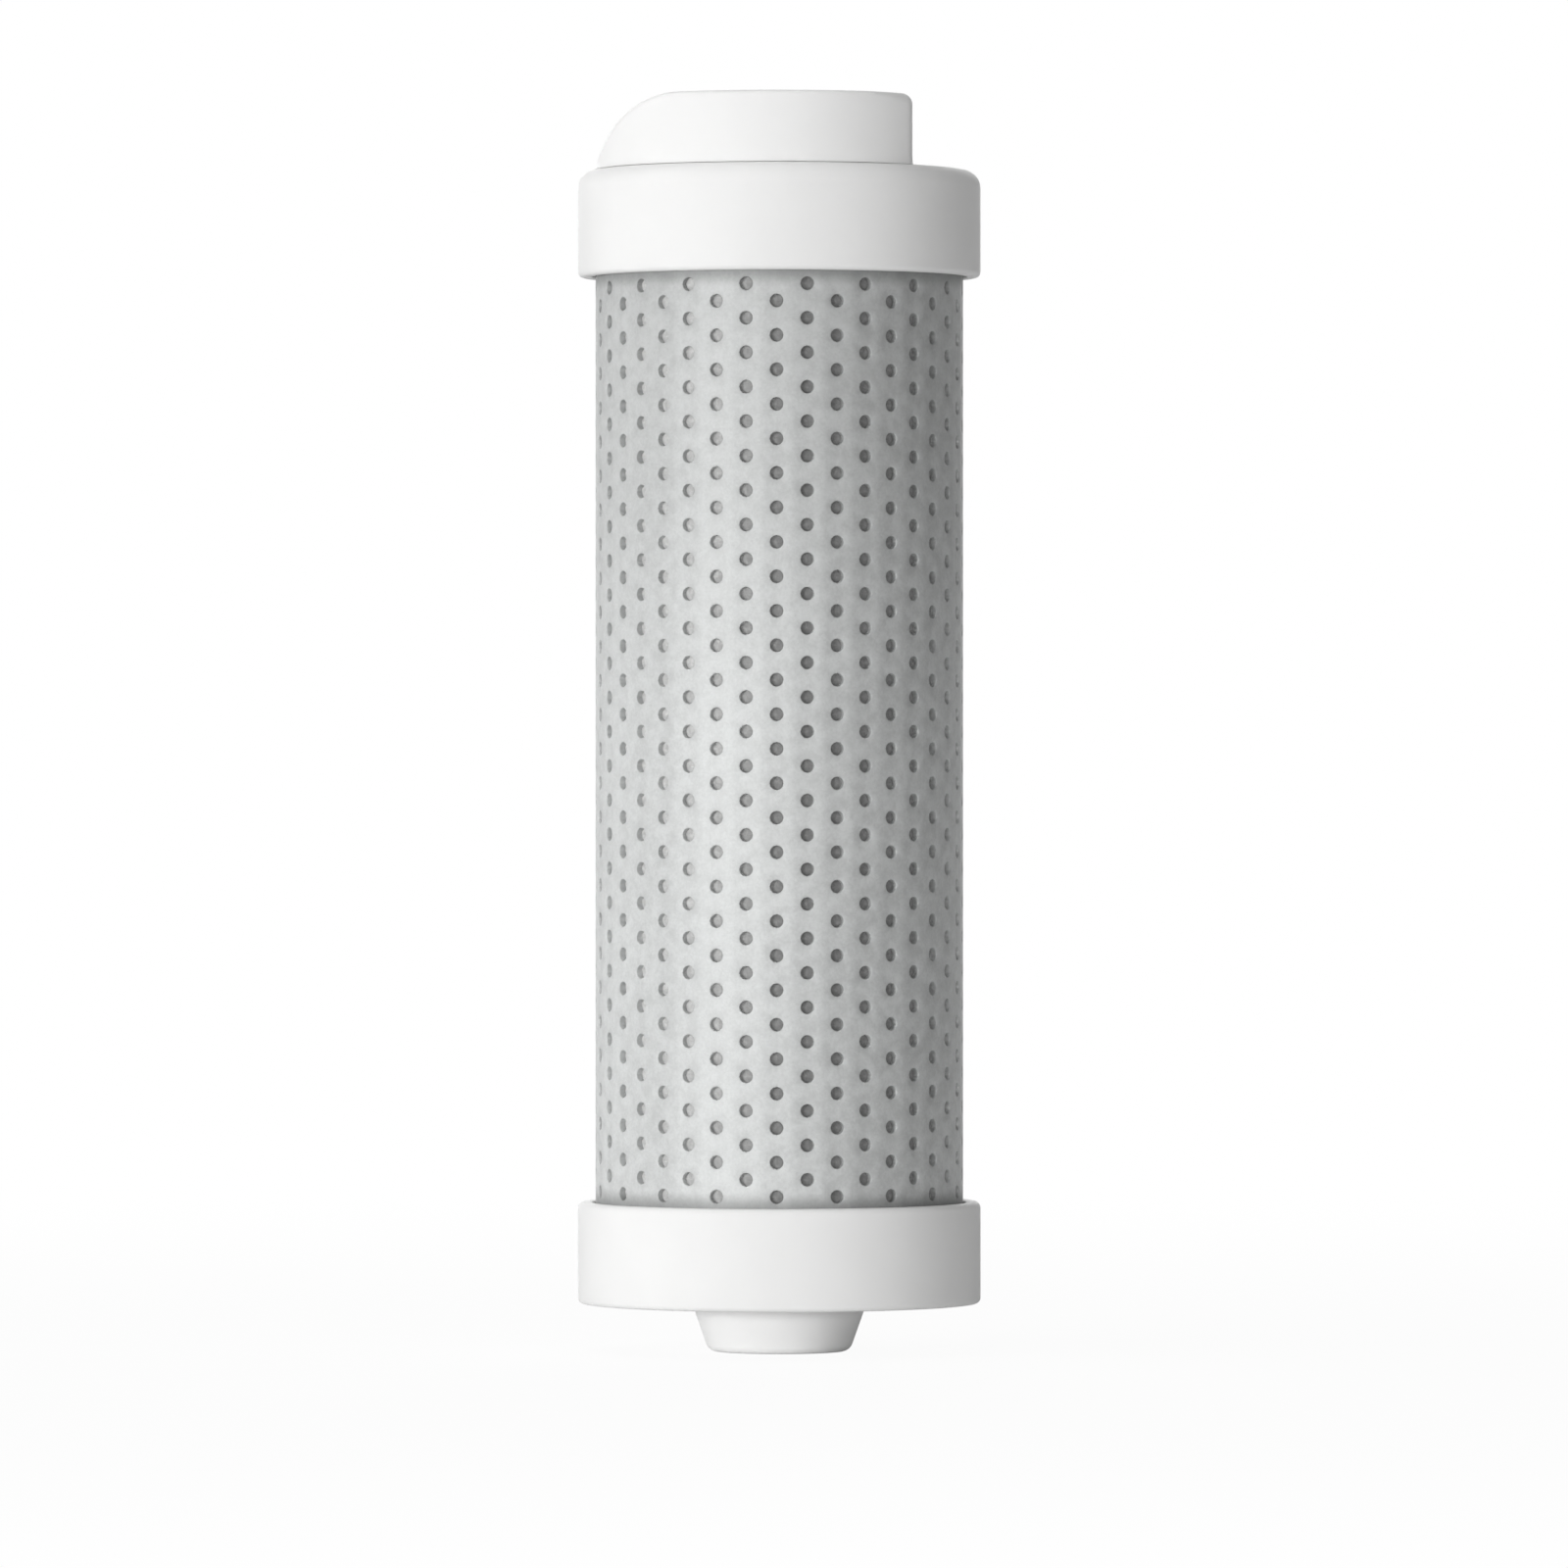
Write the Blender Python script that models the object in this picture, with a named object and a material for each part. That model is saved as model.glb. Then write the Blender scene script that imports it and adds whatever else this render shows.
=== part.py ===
"""Replaceable cartridge of a pump water filter, as an assembly of separate solids.

Metres, +Z up. The cartridge stands on the flat tip of its outlet nozzle, with the origin at the
centre of that tip and the filter's axis on +Z. +X points to the flat of the keyed hub.

Raw water enters through the perforated sleeve and the felt behind it, passes the pleated membrane
and the carbon block inwards to the core tube, and leaves downwards through a one-way valve in the
nozzle. The top cap screws off with a three-start thread, so that the element can be changed.
"""

import math

import bmesh
import bpy
from mathutils import Matrix, Vector

# Overall sizes
SLEEVE_DIAMETER = 0.0420
SLEEVE_WALL = 0.0008
SKIRT_WALL = 0.0017
SLEEVE_EXPOSED_LENGTH = 0.1056
TOP_CAP_HEIGHT = 0.0122
BOTTOM_CAP_HEIGHT = 0.0116
CAP_ROOF = 0.0022
CAP_FLOOR = 0.0022
TOP_EDGE_RADIUS = 0.0020
BOTTOM_EDGE_RADIUS = 0.0006
CLEARANCE = 0.0003

# Perforation of the sleeve: staggered columns of round holes
HOLE_DIAMETER = 0.0015
HOLE_PITCH = 0.00388
HOLE_MARGIN = 0.00149
HOLE_COLUMNS = 38
HOLE_PHASE = math.radians(-90.8)
HOLE_STRIDE = 2
HOLE_SIDES = 6

# Keyed hub on the top cap
HUB_INSET = 0.0022
HUB_HEIGHT = 0.0081
HUB_FLAT_DEPTH = 0.00575
HUB_RAMP_REACH = 0.00085
HUB_RAMP_ANGLE = math.radians(58.6)
HUB_SHOULDER_RADIUS = 0.0095
HUB_EDGE_RADIUS = 0.0013
HUB_WALL = 0.0024
HUB_BOSS_DIAMETER = 0.0062

# Screws that hold the hub on the cap
SCREW_COUNT = 3
SCREW_INSET = 0.0118
SCREW_SHANK_DIAMETER = 0.0025
SCREW_LENGTH = 0.0070
SCREW_HEAD_DIAMETER = 0.0048
SCREW_HEAD_HEIGHT = 0.0018
SCREW_SOCKET_DIAMETER = 0.0020
SCREW_SOCKET_DEPTH = 0.0010

# Three-start thread between the cap's plug and the collar in the sleeve
THREAD_STARTS = 3
THREAD_LEAD = 0.0096
THREAD_DEPTH = 0.0009
THREAD_CLEARANCE = 0.0004
THREAD_SPAN = math.radians(100.0)
THREAD_ROOT = 0.0005
THREAD_FLANK = 0.0002
THREAD_LAND = 0.0006
PLUG_LENGTH = 0.0095
PLUG_WALL = 0.0020
COLLAR_WALL = 0.0025
COLLAR_OVERHANG = 0.0007
GASKET_THICKNESS = 0.0016

# Bottom cap and felt
LOCATING_RING_WALL = 0.0015
LOCATING_RING_HEIGHT = 0.0060
FELT_THICKNESS = 0.0015
LIP_HEIGHT = 0.0005
LIP_WIDTH = 0.0010
LIP_LAND = 0.0003

# Outlet nozzle
NOZZLE_LENGTH = 0.0055
NOZZLE_TIP_DIAMETER = 0.0161
NOZZLE_ROOT_DIAMETER = 0.0200
NOZZLE_EDGE_RADIUS = 0.0010
NOZZLE_FLANGE_WIDTH = 0.0050
NOZZLE_FLANGE_THICKNESS = 0.0030
NOZZLE_RING_SECTION = 0.0015
EXIT_BORE_DIAMETER = 0.0072
EXIT_BORE_LENGTH = 0.0030
CHAMBER_DIAMETER = 0.0132
CHAMBER_LENGTH = 0.0100
SOCKET_DIAMETER = 0.0160
SOCKET_DEPTH = 0.0030

# One-way valve in the nozzle
SEAT_THICKNESS = 0.0020
SEAT_BORE_DIAMETER = 0.0068
POPPET_HEAD_DIAMETER = 0.0102
POPPET_HEAD_THICKNESS = 0.0018
POPPET_PIN_DIAMETER = 0.0032
POPPET_PIN_REACH = 0.0014
POPPET_BOSS_LENGTH = 0.0015
POPPET_SEAL_THICKNESS = 0.0010
SPRING_WIRE = 0.0007
SPRING_MEAN_DIAMETER = 0.0092
SPRING_TURNS = 4.5

# Filter element
ELEMENT_CLEARANCE = 0.0006
ELEMENT_GASKET_THICKNESS = 0.0015
DISC_THICKNESS = 0.0020
DISC_BOSS_LENGTH = 0.0030
PLEAT_COUNT = 36
PLEAT_INSET = 0.0003
PLEAT_CLEARANCE = 0.0004
PLEAT_RADIAL_THICKNESS = 0.0024
CARBON_DIAMETER = 0.0188
CARBON_PAD_THICKNESS = 0.0015
CORE_DIAMETER = 0.0104
CORE_WALL = 0.0012
CORE_HOLE_DIAMETER = 0.0030
CORE_HOLE_PITCH = 0.0120
NIPPLE_CLEARANCE = 0.0006
ELEMENT_RING_SECTION = 0.0012
SCREEN_THICKNESS = 0.0005
SCREEN_HOLE_DIAMETER = 0.0012
SCREEN_HOLE_PITCH = 0.0019

# Fineness of the turned surfaces
LARGE_SEGMENTS = 36
MIDDLE_SEGMENTS = 28
SMALL_SEGMENTS = 20
FINE_SEGMENTS = 8
RING_SEGMENTS = 6
FILLET_STEPS = 3
CUT_MARGIN = 0.0010
MERGE_DISTANCE = 1e-6

# Radii that follow from the sizes above
SLEEVE_R = SLEEVE_DIAMETER / 2
SLEEVE_BORE_R = SLEEVE_R - SLEEVE_WALL
SKIRT_BORE_R = SLEEVE_R + CLEARANCE
CAP_R = SKIRT_BORE_R + SKIRT_WALL
INNER_FIT_R = SLEEVE_BORE_R - CLEARANCE
HUB_R = CAP_R - HUB_INSET
HUB_FLAT_X = HUB_R - HUB_FLAT_DEPTH
HUB_RAMP_FOOT_X = -HUB_R - HUB_RAMP_REACH
SCREW_CIRCLE_R = HUB_R - SCREW_INSET
COLLAR_BORE_R = INNER_FIT_R - COLLAR_WALL
PLUG_R = COLLAR_BORE_R - THREAD_DEPTH - THREAD_CLEARANCE
PLUG_BORE_R = PLUG_R - PLUG_WALL
NOZZLE_R = NOZZLE_ROOT_DIAMETER / 2
NOZZLE_FLANGE_R = NOZZLE_R + NOZZLE_FLANGE_WIDTH
NOZZLE_RING_R = NOZZLE_R + NOZZLE_FLANGE_WIDTH / 2
SOCKET_R = SOCKET_DIAMETER / 2
NIPPLE_R = SOCKET_R - NIPPLE_CLEARANCE
NIPPLE_RING_R = SOCKET_R - CLEARANCE - ELEMENT_RING_SECTION / 2
ELEMENT_R = COLLAR_BORE_R - THREAD_DEPTH - ELEMENT_CLEARANCE
CARBON_R = CARBON_DIAMETER / 2
PLEAT_OUTER_R = ELEMENT_R - PLEAT_INSET
PLEAT_INNER_R = CARBON_R + PLEAT_CLEARANCE
CORE_R = CORE_DIAMETER / 2
CORE_BORE_R = CORE_R - CORE_WALL
POPPET_BOSS_R = (SPRING_MEAN_DIAMETER - SPRING_WIRE) / 2 - CLEARANCE
THREAD_HALF_PITCH = THREAD_LEAD / THREAD_STARTS / 2
THREAD_RIB = THREAD_HALF_PITCH - THREAD_CLEARANCE
THREAD_RISE = THREAD_LEAD * THREAD_SPAN / math.tau

# Heights that follow from the sizes above
Z_CAP_BOTTOM = NOZZLE_LENGTH
Z_FLOOR = Z_CAP_BOTTOM + CAP_FLOOR
Z_BOTTOM_RIM = Z_CAP_BOTTOM + BOTTOM_CAP_HEIGHT
Z_TOP_RIM = Z_BOTTOM_RIM + SLEEVE_EXPOSED_LENGTH
Z_ROOF = Z_TOP_RIM + TOP_CAP_HEIGHT
Z_ROOF_UNDER = Z_ROOF - CAP_ROOF
Z_HUB_BOTTOM = Z_ROOF + CLEARANCE
Z_HUB_TOP = Z_ROOF + HUB_HEIGHT
Z_GASKET_TOP = Z_ROOF_UNDER - CLEARANCE
Z_GASKET_BOTTOM = Z_GASKET_TOP - GASKET_THICKNESS
Z_SLEEVE_TOP = Z_GASKET_BOTTOM - CLEARANCE
Z_SLEEVE_BOTTOM = Z_FLOOR + CLEARANCE
Z_PLUG_BOTTOM = Z_ROOF_UNDER - PLUG_LENGTH
Z_COLLAR_BOTTOM = Z_PLUG_BOTTOM - COLLAR_OVERHANG
Z_LOCATING_TOP = Z_FLOOR + LOCATING_RING_HEIGHT
Z_FLANGE_BOTTOM = Z_FLOOR + CLEARANCE
Z_FLANGE_TOP = Z_FLANGE_BOTTOM + NOZZLE_FLANGE_THICKNESS
Z_CHAMBER_TOP = EXIT_BORE_LENGTH + CHAMBER_LENGTH
Z_SEAT_BOTTOM = Z_CHAMBER_TOP + CLEARANCE
Z_SEAT_TOP = Z_SEAT_BOTTOM + SEAT_THICKNESS
Z_NIPPLE_BOTTOM = Z_SEAT_TOP + CLEARANCE
Z_NOZZLE_TOP = Z_NIPPLE_BOTTOM + SOCKET_DEPTH
Z_LOWER_DISC_BOTTOM = Z_NOZZLE_TOP + CLEARANCE
Z_LOWER_DISC_TOP = Z_LOWER_DISC_BOTTOM + DISC_THICKNESS
Z_MEDIA_BOTTOM = Z_LOWER_DISC_TOP + CLEARANCE
Z_ELEMENT_GASKET_TOP = Z_PLUG_BOTTOM - CLEARANCE
Z_ELEMENT_GASKET_BOTTOM = Z_ELEMENT_GASKET_TOP - ELEMENT_GASKET_THICKNESS
Z_UPPER_DISC_TOP = Z_ELEMENT_GASKET_BOTTOM - CLEARANCE
Z_UPPER_DISC_BOTTOM = Z_UPPER_DISC_TOP - DISC_THICKNESS
Z_MEDIA_TOP = Z_UPPER_DISC_BOTTOM - CLEARANCE
Z_SEAL_TOP = Z_SEAT_BOTTOM - CLEARANCE
Z_SEAL_BOTTOM = Z_SEAL_TOP - POPPET_SEAL_THICKNESS
Z_POPPET_TOP = Z_SEAL_BOTTOM - CLEARANCE
Z_POPPET_BOTTOM = Z_POPPET_TOP - POPPET_HEAD_THICKNESS

# Finishes: colour, roughness and metallic value
FINISHES = {
    "white_plastic": ((0.86, 0.86, 0.85), 0.42, 0.0),
    "grey_perforated_sheet": ((0.56, 0.57, 0.56), 0.58, 0.7),
    "grey_felt": ((0.20, 0.20, 0.20), 0.95, 0.0),
    "black_rubber": ((0.02, 0.02, 0.02), 0.70, 0.0),
    "natural_plastic": ((0.74, 0.75, 0.74), 0.45, 0.0),
    "membrane_paper": ((0.82, 0.81, 0.77), 0.85, 0.0),
    "carbon": ((0.02, 0.02, 0.02), 0.90, 0.0),
    "stainless_steel": ((0.60, 0.60, 0.60), 0.30, 1.0),
    "blue_silicone": ((0.10, 0.24, 0.48), 0.55, 0.0),
}


def finish(name):
    """The named finish as a Principled material, made once."""
    material = bpy.data.materials.get(name)
    if material:
        return material
    colour, roughness, metallic = FINISHES[name]
    material = bpy.data.materials.new(name)
    material.use_nodes = True
    shader = material.node_tree.nodes["Principled BSDF"]
    shader.inputs["Base Color"].default_value = (*colour, 1.0)
    shader.inputs["Roughness"].default_value = roughness
    shader.inputs["Metallic"].default_value = metallic
    material.diffuse_color = (*colour, 1.0)
    return material


def rounded(corners):
    """A closed outline of (a, b, radius) corners, each radius drawn as a tangent arc.

    A radius is limited to what the shorter of its two sides can hold.
    """
    outline = []
    count = len(corners)
    for index, (a, b, radius) in enumerate(corners):
        corner = Vector((a, b))
        if radius <= 0:
            outline.append((a, b))
            continue
        before = Vector(corners[index - 1][:2]) - corner
        after = Vector(corners[(index + 1) % count][:2]) - corner
        half_angle = before.angle(after) / 2
        reach = min(radius / math.tan(half_angle), 0.49 * before.length, 0.49 * after.length)
        radius = reach * math.tan(half_angle)
        middle = (before.normalized() + after.normalized()).normalized()
        centre = corner + middle * (radius / math.sin(half_angle))
        start = corner + before.normalized() * reach - centre
        sweep = start.angle_signed(corner + after.normalized() * reach - centre)
        for step in range(FILLET_STEPS + 1):
            spoke = Matrix.Rotation(-sweep * step / FILLET_STEPS, 2) @ start
            outline.append(tuple(centre + spoke))
    return outline


def sharp(*points):
    """Corners with no radius, for rounded()."""
    return [(a, b, 0.0) for a, b in points]


def place(name, data, finish_name, parent, smooth_angle=30.0):
    """A named object with its own material, parented to an empty on its axis."""
    data.materials.append(finish(finish_name))
    if isinstance(data, bpy.types.Mesh):
        data.shade_smooth()
        data.set_sharp_from_angle(angle=math.radians(smooth_angle))
    obj = bpy.data.objects.new(name, data)
    bpy.context.scene.collection.objects.link(obj)
    obj.parent = parent
    return obj


def pivot(name, height=0.0):
    """An empty on the filter's axis."""
    obj = bpy.data.objects.new(name, None)
    obj.empty_display_size = CLEARANCE
    obj.location = (0.0, 0.0, height)
    bpy.context.scene.collection.objects.link(obj)
    return obj


def mesh_from(name, bm):
    """A mesh with its faces pointing out."""
    bmesh.ops.remove_doubles(bm, verts=bm.verts, dist=MERGE_DISTANCE)
    bmesh.ops.recalc_face_normals(bm, faces=bm.faces)
    mesh = bpy.data.meshes.new(name)
    bm.to_mesh(mesh)
    bm.free()
    return mesh


def turned(name, corners, segments):
    """The closed (radius, height) outline turned a full circle about Z."""
    bm = bmesh.new()
    outline = rounded(corners)
    verts = [bm.verts.new((radius, 0.0, height)) for radius, height in outline]
    edges = []
    for here, there in zip(verts, verts[1:] + verts[:1]):
        if here.co.x > 0 or there.co.x > 0:
            edges.append(bm.edges.new((here, there)))
    bmesh.ops.spin(
        bm,
        geom=verts + edges,
        cent=(0, 0, 0),
        axis=(0, 0, 1),
        angle=math.tau,
        steps=segments,
        use_merge=True,
    )
    return mesh_from(name, bm)


def tube(name, inner, outer, low, high, segments):
    """A plain tube between two radii and two heights."""
    return turned(name, sharp((inner, high), (outer, high), (outer, low), (inner, low)), segments)


def o_ring(name, radius, section, height):
    """A torus about Z whose section is centred at a radius and a height."""
    corners = []
    for step in range(RING_SEGMENTS):
        angle = math.tau * (step + 0.5) / RING_SEGMENTS
        corners.append((radius + section / 2 * math.cos(angle), height + section / 2 * math.sin(angle)))
    return turned(name, sharp(*corners), SMALL_SEGMENTS)


def extruded(name, outline, low, high):
    """A closed (x, z) outline extruded along Y."""
    bm = bmesh.new()
    face = bm.faces.new([bm.verts.new((x, low, z)) for x, z in outline])
    grown = bmesh.ops.extrude_face_region(bm, geom=[face])
    moved = [item for item in grown["geom"] if isinstance(item, bmesh.types.BMVert)]
    bmesh.ops.translate(bm, verts=moved, vec=(0.0, high - low, 0.0))
    return mesh_from(name, bm)


def rods(name, stands, segments):
    """Separate rods, each (matrix, radius, length) along its own Z, as one cutting tool."""
    bm = bmesh.new()
    for matrix, radius, length in stands:
        bmesh.ops.create_cone(
            bm,
            cap_ends=True,
            segments=segments,
            radius1=radius,
            radius2=radius,
            depth=length,
            matrix=matrix,
        )
    return mesh_from(name, bm)


def upright(x, y, low, high):
    """The matrix of a vertical rod between two heights."""
    return Matrix.Translation((x, y, (low + high) / 2))


def cutter(name, mesh):
    """A tool for a Boolean: drawn as wire and left out of the model."""
    obj = bpy.data.objects.new(name, mesh)
    bpy.context.scene.collection.objects.link(obj)
    obj.display_type = "WIRE"
    obj.hide_render = True
    return obj


def boolean(target, tool, operation):
    """Combine an object with a tool by an exact Boolean modifier."""
    modifier = target.modifiers.new(tool.name, "BOOLEAN")
    modifier.operation = operation
    modifier.solver = "EXACT"
    modifier.object = tool


def thread_ribs(name, root, tip, start_height):
    """One helical rib for each start: a trapezoid swept from the root radius to the tip radius."""
    bm = bmesh.new()
    steps = round(THREAD_SPAN / math.tau * LARGE_SEGMENTS)
    half_step = math.pi / LARGE_SEGMENTS
    half = THREAD_RIB / 2
    section = [(root, -half), (tip, THREAD_FLANK - half), (tip, half - THREAD_FLANK), (root, half)]
    for start in range(THREAD_STARTS):
        first = math.tau * start / THREAD_STARTS + half_step
        rings = []
        for step in range(steps + 1):
            share = step / steps
            angle = first + THREAD_SPAN * share
            height = start_height + THREAD_RISE * share
            ring = []
            for radius, offset in section:
                x, y = radius * math.cos(angle), radius * math.sin(angle)
                ring.append(bm.verts.new((x, y, height + offset)))
            rings.append(ring)
        for here, there in zip(rings, rings[1:]):
            for side in range(len(section)):
                other = (side + 1) % len(section)
                bm.faces.new((here[side], here[other], there[other], there[side]))
        bm.faces.new(rings[0])
        bm.faces.new(rings[-1])
    return mesh_from(name, bm)


def screw_places():
    """The (x, y) of each hub screw, the first one at the back."""
    for index in range(SCREW_COUNT):
        angle = math.pi / 2 + math.tau * index / SCREW_COUNT
        yield SCREW_CIRCLE_R * math.cos(angle), SCREW_CIRCLE_R * math.sin(angle)


def hub_outline(inset, low):
    """Side view of the hub: flat on the right, ramp and round shoulder on the left, moved in by inset."""
    top = Z_HUB_TOP - inset
    right = HUB_FLAT_X - inset
    slope = math.tan(HUB_RAMP_ANGLE)
    foot = HUB_RAMP_FOOT_X + inset / math.sin(HUB_RAMP_ANGLE)
    shoulder = max(HUB_SHOULDER_RADIUS - inset, 0.0)
    edge = max(HUB_EDGE_RADIUS - inset, 0.0)
    return rounded(
        [
            (foot + (low - Z_ROOF) / slope, low, 0.0),
            (right, low, 0.0),
            (right, top, edge),
            (foot + (top - Z_ROOF) / slope, top, shoulder),
        ]
    )


def make_hub(parent):
    """Keyed hub: a round boss cut by a flat and a ramp, hollow, with a boss for each screw."""
    reach = HUB_R + CUT_MARGIN
    low = Z_HUB_BOTTOM - CUT_MARGIN
    body = turned(
        "keyed_hub",
        sharp((0.0, Z_HUB_TOP), (HUB_R, Z_HUB_TOP), (HUB_R, Z_HUB_BOTTOM), (0.0, Z_HUB_BOTTOM)),
        LARGE_SEGMENTS,
    )
    hub = place("keyed_hub", body, "white_plastic", parent)
    side_view = extruded("hub_side_view", hub_outline(0.0, low), -reach, reach)
    boolean(hub, cutter("hub_side_view", side_view), "INTERSECT")
    hollow_r = HUB_R - HUB_WALL
    ceiling = Z_HUB_TOP - HUB_WALL
    hollow = cutter(
        "hub_hollow",
        turned(
            "hub_hollow",
            sharp(
                (0.0, ceiling + CUT_MARGIN),
                (hollow_r, ceiling + CUT_MARGIN),
                (hollow_r, low),
                (0.0, low),
            ),
            LARGE_SEGMENTS,
        ),
    )
    inner = extruded("hub_inner_view", hub_outline(HUB_WALL, low - CUT_MARGIN), -reach, reach)
    boolean(hollow, cutter("hub_inner_view", inner), "INTERSECT")
    bosses = []
    pilots = []
    tip = Z_GASKET_TOP + SCREW_LENGTH + CLEARANCE
    for x, y in screw_places():
        boss_low = low - CUT_MARGIN
        bosses.append((upright(x, y, boss_low, Z_HUB_TOP), HUB_BOSS_DIAMETER / 2, Z_HUB_TOP - boss_low))
        pilots.append((upright(x, y, low, tip), SCREW_SHANK_DIAMETER / 2 + CLEARANCE, tip - low))
    boolean(hollow, cutter("hub_bosses", rods("hub_bosses", bosses, 2 * FINE_SEGMENTS)), "DIFFERENCE")
    boolean(hub, hollow, "DIFFERENCE")
    boolean(hub, cutter("hub_pilots", rods("hub_pilots", pilots, FINE_SEGMENTS)), "DIFFERENCE")


def make_hub_screws(parent):
    """Pan-head screws driven up through the cap's roof into the hub's bosses."""
    head_top = Z_ROOF_UNDER - CLEARANCE
    for index, (x, y) in enumerate(screw_places(), start=1):
        name = f"hub_screw_{index}"
        shank = SCREW_SHANK_DIAMETER / 2
        head = SCREW_HEAD_DIAMETER / 2
        mesh = turned(
            name,
            [
                (0.0, SCREW_LENGTH, 0.0),
                (shank, SCREW_LENGTH, shank / 2),
                (shank, 0.0, 0.0),
                (head, 0.0, 0.0),
                (head, -SCREW_HEAD_HEIGHT, SCREW_HEAD_HEIGHT / 2),
                (0.0, -SCREW_HEAD_HEIGHT, 0.0),
            ],
            FINE_SEGMENTS,
        )
        screw = place(name, mesh, "stainless_steel", parent)
        screw.location = (x, y, head_top)
        low = head_top - SCREW_HEAD_HEIGHT - CUT_MARGIN
        high = head_top - SCREW_HEAD_HEIGHT + SCREW_SOCKET_DEPTH
        drill = (upright(x, y, low, high), SCREW_SOCKET_DIAMETER / 2, high - low)
        socket = rods(f"{name}_socket", [drill], HOLE_SIDES)
        boolean(screw, cutter(f"{name}_socket", socket), "DIFFERENCE")


def make_top_cap(parent):
    """Top cap: roof, skirt over the sleeve and a threaded plug that screws into the collar."""
    mesh = turned(
        "top_end_cap",
        [
            (0.0, Z_ROOF, 0.0),
            (CAP_R, Z_ROOF, TOP_EDGE_RADIUS),
            (CAP_R, Z_TOP_RIM, 0.0),
            (SKIRT_BORE_R, Z_TOP_RIM, 0.0),
            (SKIRT_BORE_R, Z_ROOF_UNDER, 0.0),
            (PLUG_R, Z_ROOF_UNDER, 0.0),
            (PLUG_R, Z_PLUG_BOTTOM, 0.0),
            (PLUG_BORE_R, Z_PLUG_BOTTOM, 0.0),
            (PLUG_BORE_R, Z_ROOF_UNDER, 0.0),
            (0.0, Z_ROOF_UNDER, 0.0),
        ],
        LARGE_SEGMENTS,
    )
    cap = place("top_end_cap", mesh, "white_plastic", parent)
    first = Z_PLUG_BOTTOM + THREAD_LAND + THREAD_RIB / 2
    ribs = thread_ribs("plug_thread", PLUG_R - THREAD_ROOT, PLUG_R + THREAD_DEPTH, first)
    boolean(cap, cutter("plug_thread", ribs), "UNION")
    low = Z_ROOF_UNDER - CUT_MARGIN
    high = Z_ROOF + CUT_MARGIN
    holes = []
    for x, y in screw_places():
        holes.append((upright(x, y, low, high), SCREW_SHANK_DIAMETER / 2 + CLEARANCE, high - low))
    boolean(cap, cutter("roof_screw_holes", rods("roof_screw_holes", holes, FINE_SEGMENTS)), "DIFFERENCE")


def make_collar(parent):
    """Collar fixed inside the sleeve's upper end, with ribs that the plug's ribs run under."""
    mesh = tube(
        "threaded_collar",
        COLLAR_BORE_R,
        INNER_FIT_R,
        Z_COLLAR_BOTTOM,
        Z_SLEEVE_TOP,
        LARGE_SEGMENTS,
    )
    collar = place("threaded_collar", mesh, "natural_plastic", parent)
    first = Z_PLUG_BOTTOM + THREAD_LAND + THREAD_RIB / 2 + THREAD_HALF_PITCH
    ribs = thread_ribs("collar_thread", COLLAR_BORE_R + THREAD_ROOT, COLLAR_BORE_R - THREAD_DEPTH, first)
    boolean(collar, cutter("collar_thread", ribs), "UNION")


def hole_places():
    """The (angle, height) of the sleeve's holes: neighbouring columns are half a pitch apart.

    The sheet has HOLE_COLUMNS columns. Of these the solid carries each HOLE_STRIDE-th column and, in
    it, each HOLE_STRIDE-th hole, taken in turn so that the kept holes are staggered as well.
    """
    lowest = Z_BOTTOM_RIM + HOLE_DIAMETER / 2
    for order, column in enumerate(range(1, HOLE_COLUMNS, HOLE_STRIDE)):
        angle = HOLE_PHASE + math.tau * column / HOLE_COLUMNS
        stagger = HOLE_PITCH / 2 if column % 2 == 0 else 0.0
        row = order % HOLE_STRIDE
        height = Z_TOP_RIM - HOLE_MARGIN - stagger - row * HOLE_PITCH
        while height > lowest:
            yield angle, height
            height -= HOLE_STRIDE * HOLE_PITCH


def make_sleeve(parent):
    """Perforated sheet tube whose ends stand inside the two caps, with a flat facet for each column."""
    mesh = tube("perforated_sleeve", SLEEVE_BORE_R, SLEEVE_R, Z_SLEEVE_BOTTOM, Z_SLEEVE_TOP, HOLE_COLUMNS)
    sleeve = place("perforated_sleeve", mesh, "grey_perforated_sheet", parent)
    sleeve.rotation_euler.z = HOLE_PHASE - math.pi / HOLE_COLUMNS
    length = SLEEVE_WALL + 2 * CUT_MARGIN
    middle = SLEEVE_R - SLEEVE_WALL / 2
    drills = []
    for angle, height in hole_places():
        turn = Matrix.Rotation(angle, 4, "Z")
        tilt = Matrix.Rotation(math.pi / 2, 4, "Y")
        matrix = turn @ Matrix.Translation((middle, 0.0, height)) @ tilt
        drills.append((matrix, HOLE_DIAMETER / 2, length))
    boolean(sleeve, cutter("sleeve_drills", rods("sleeve_drills", drills, HOLE_SIDES)), "DIFFERENCE")


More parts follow.
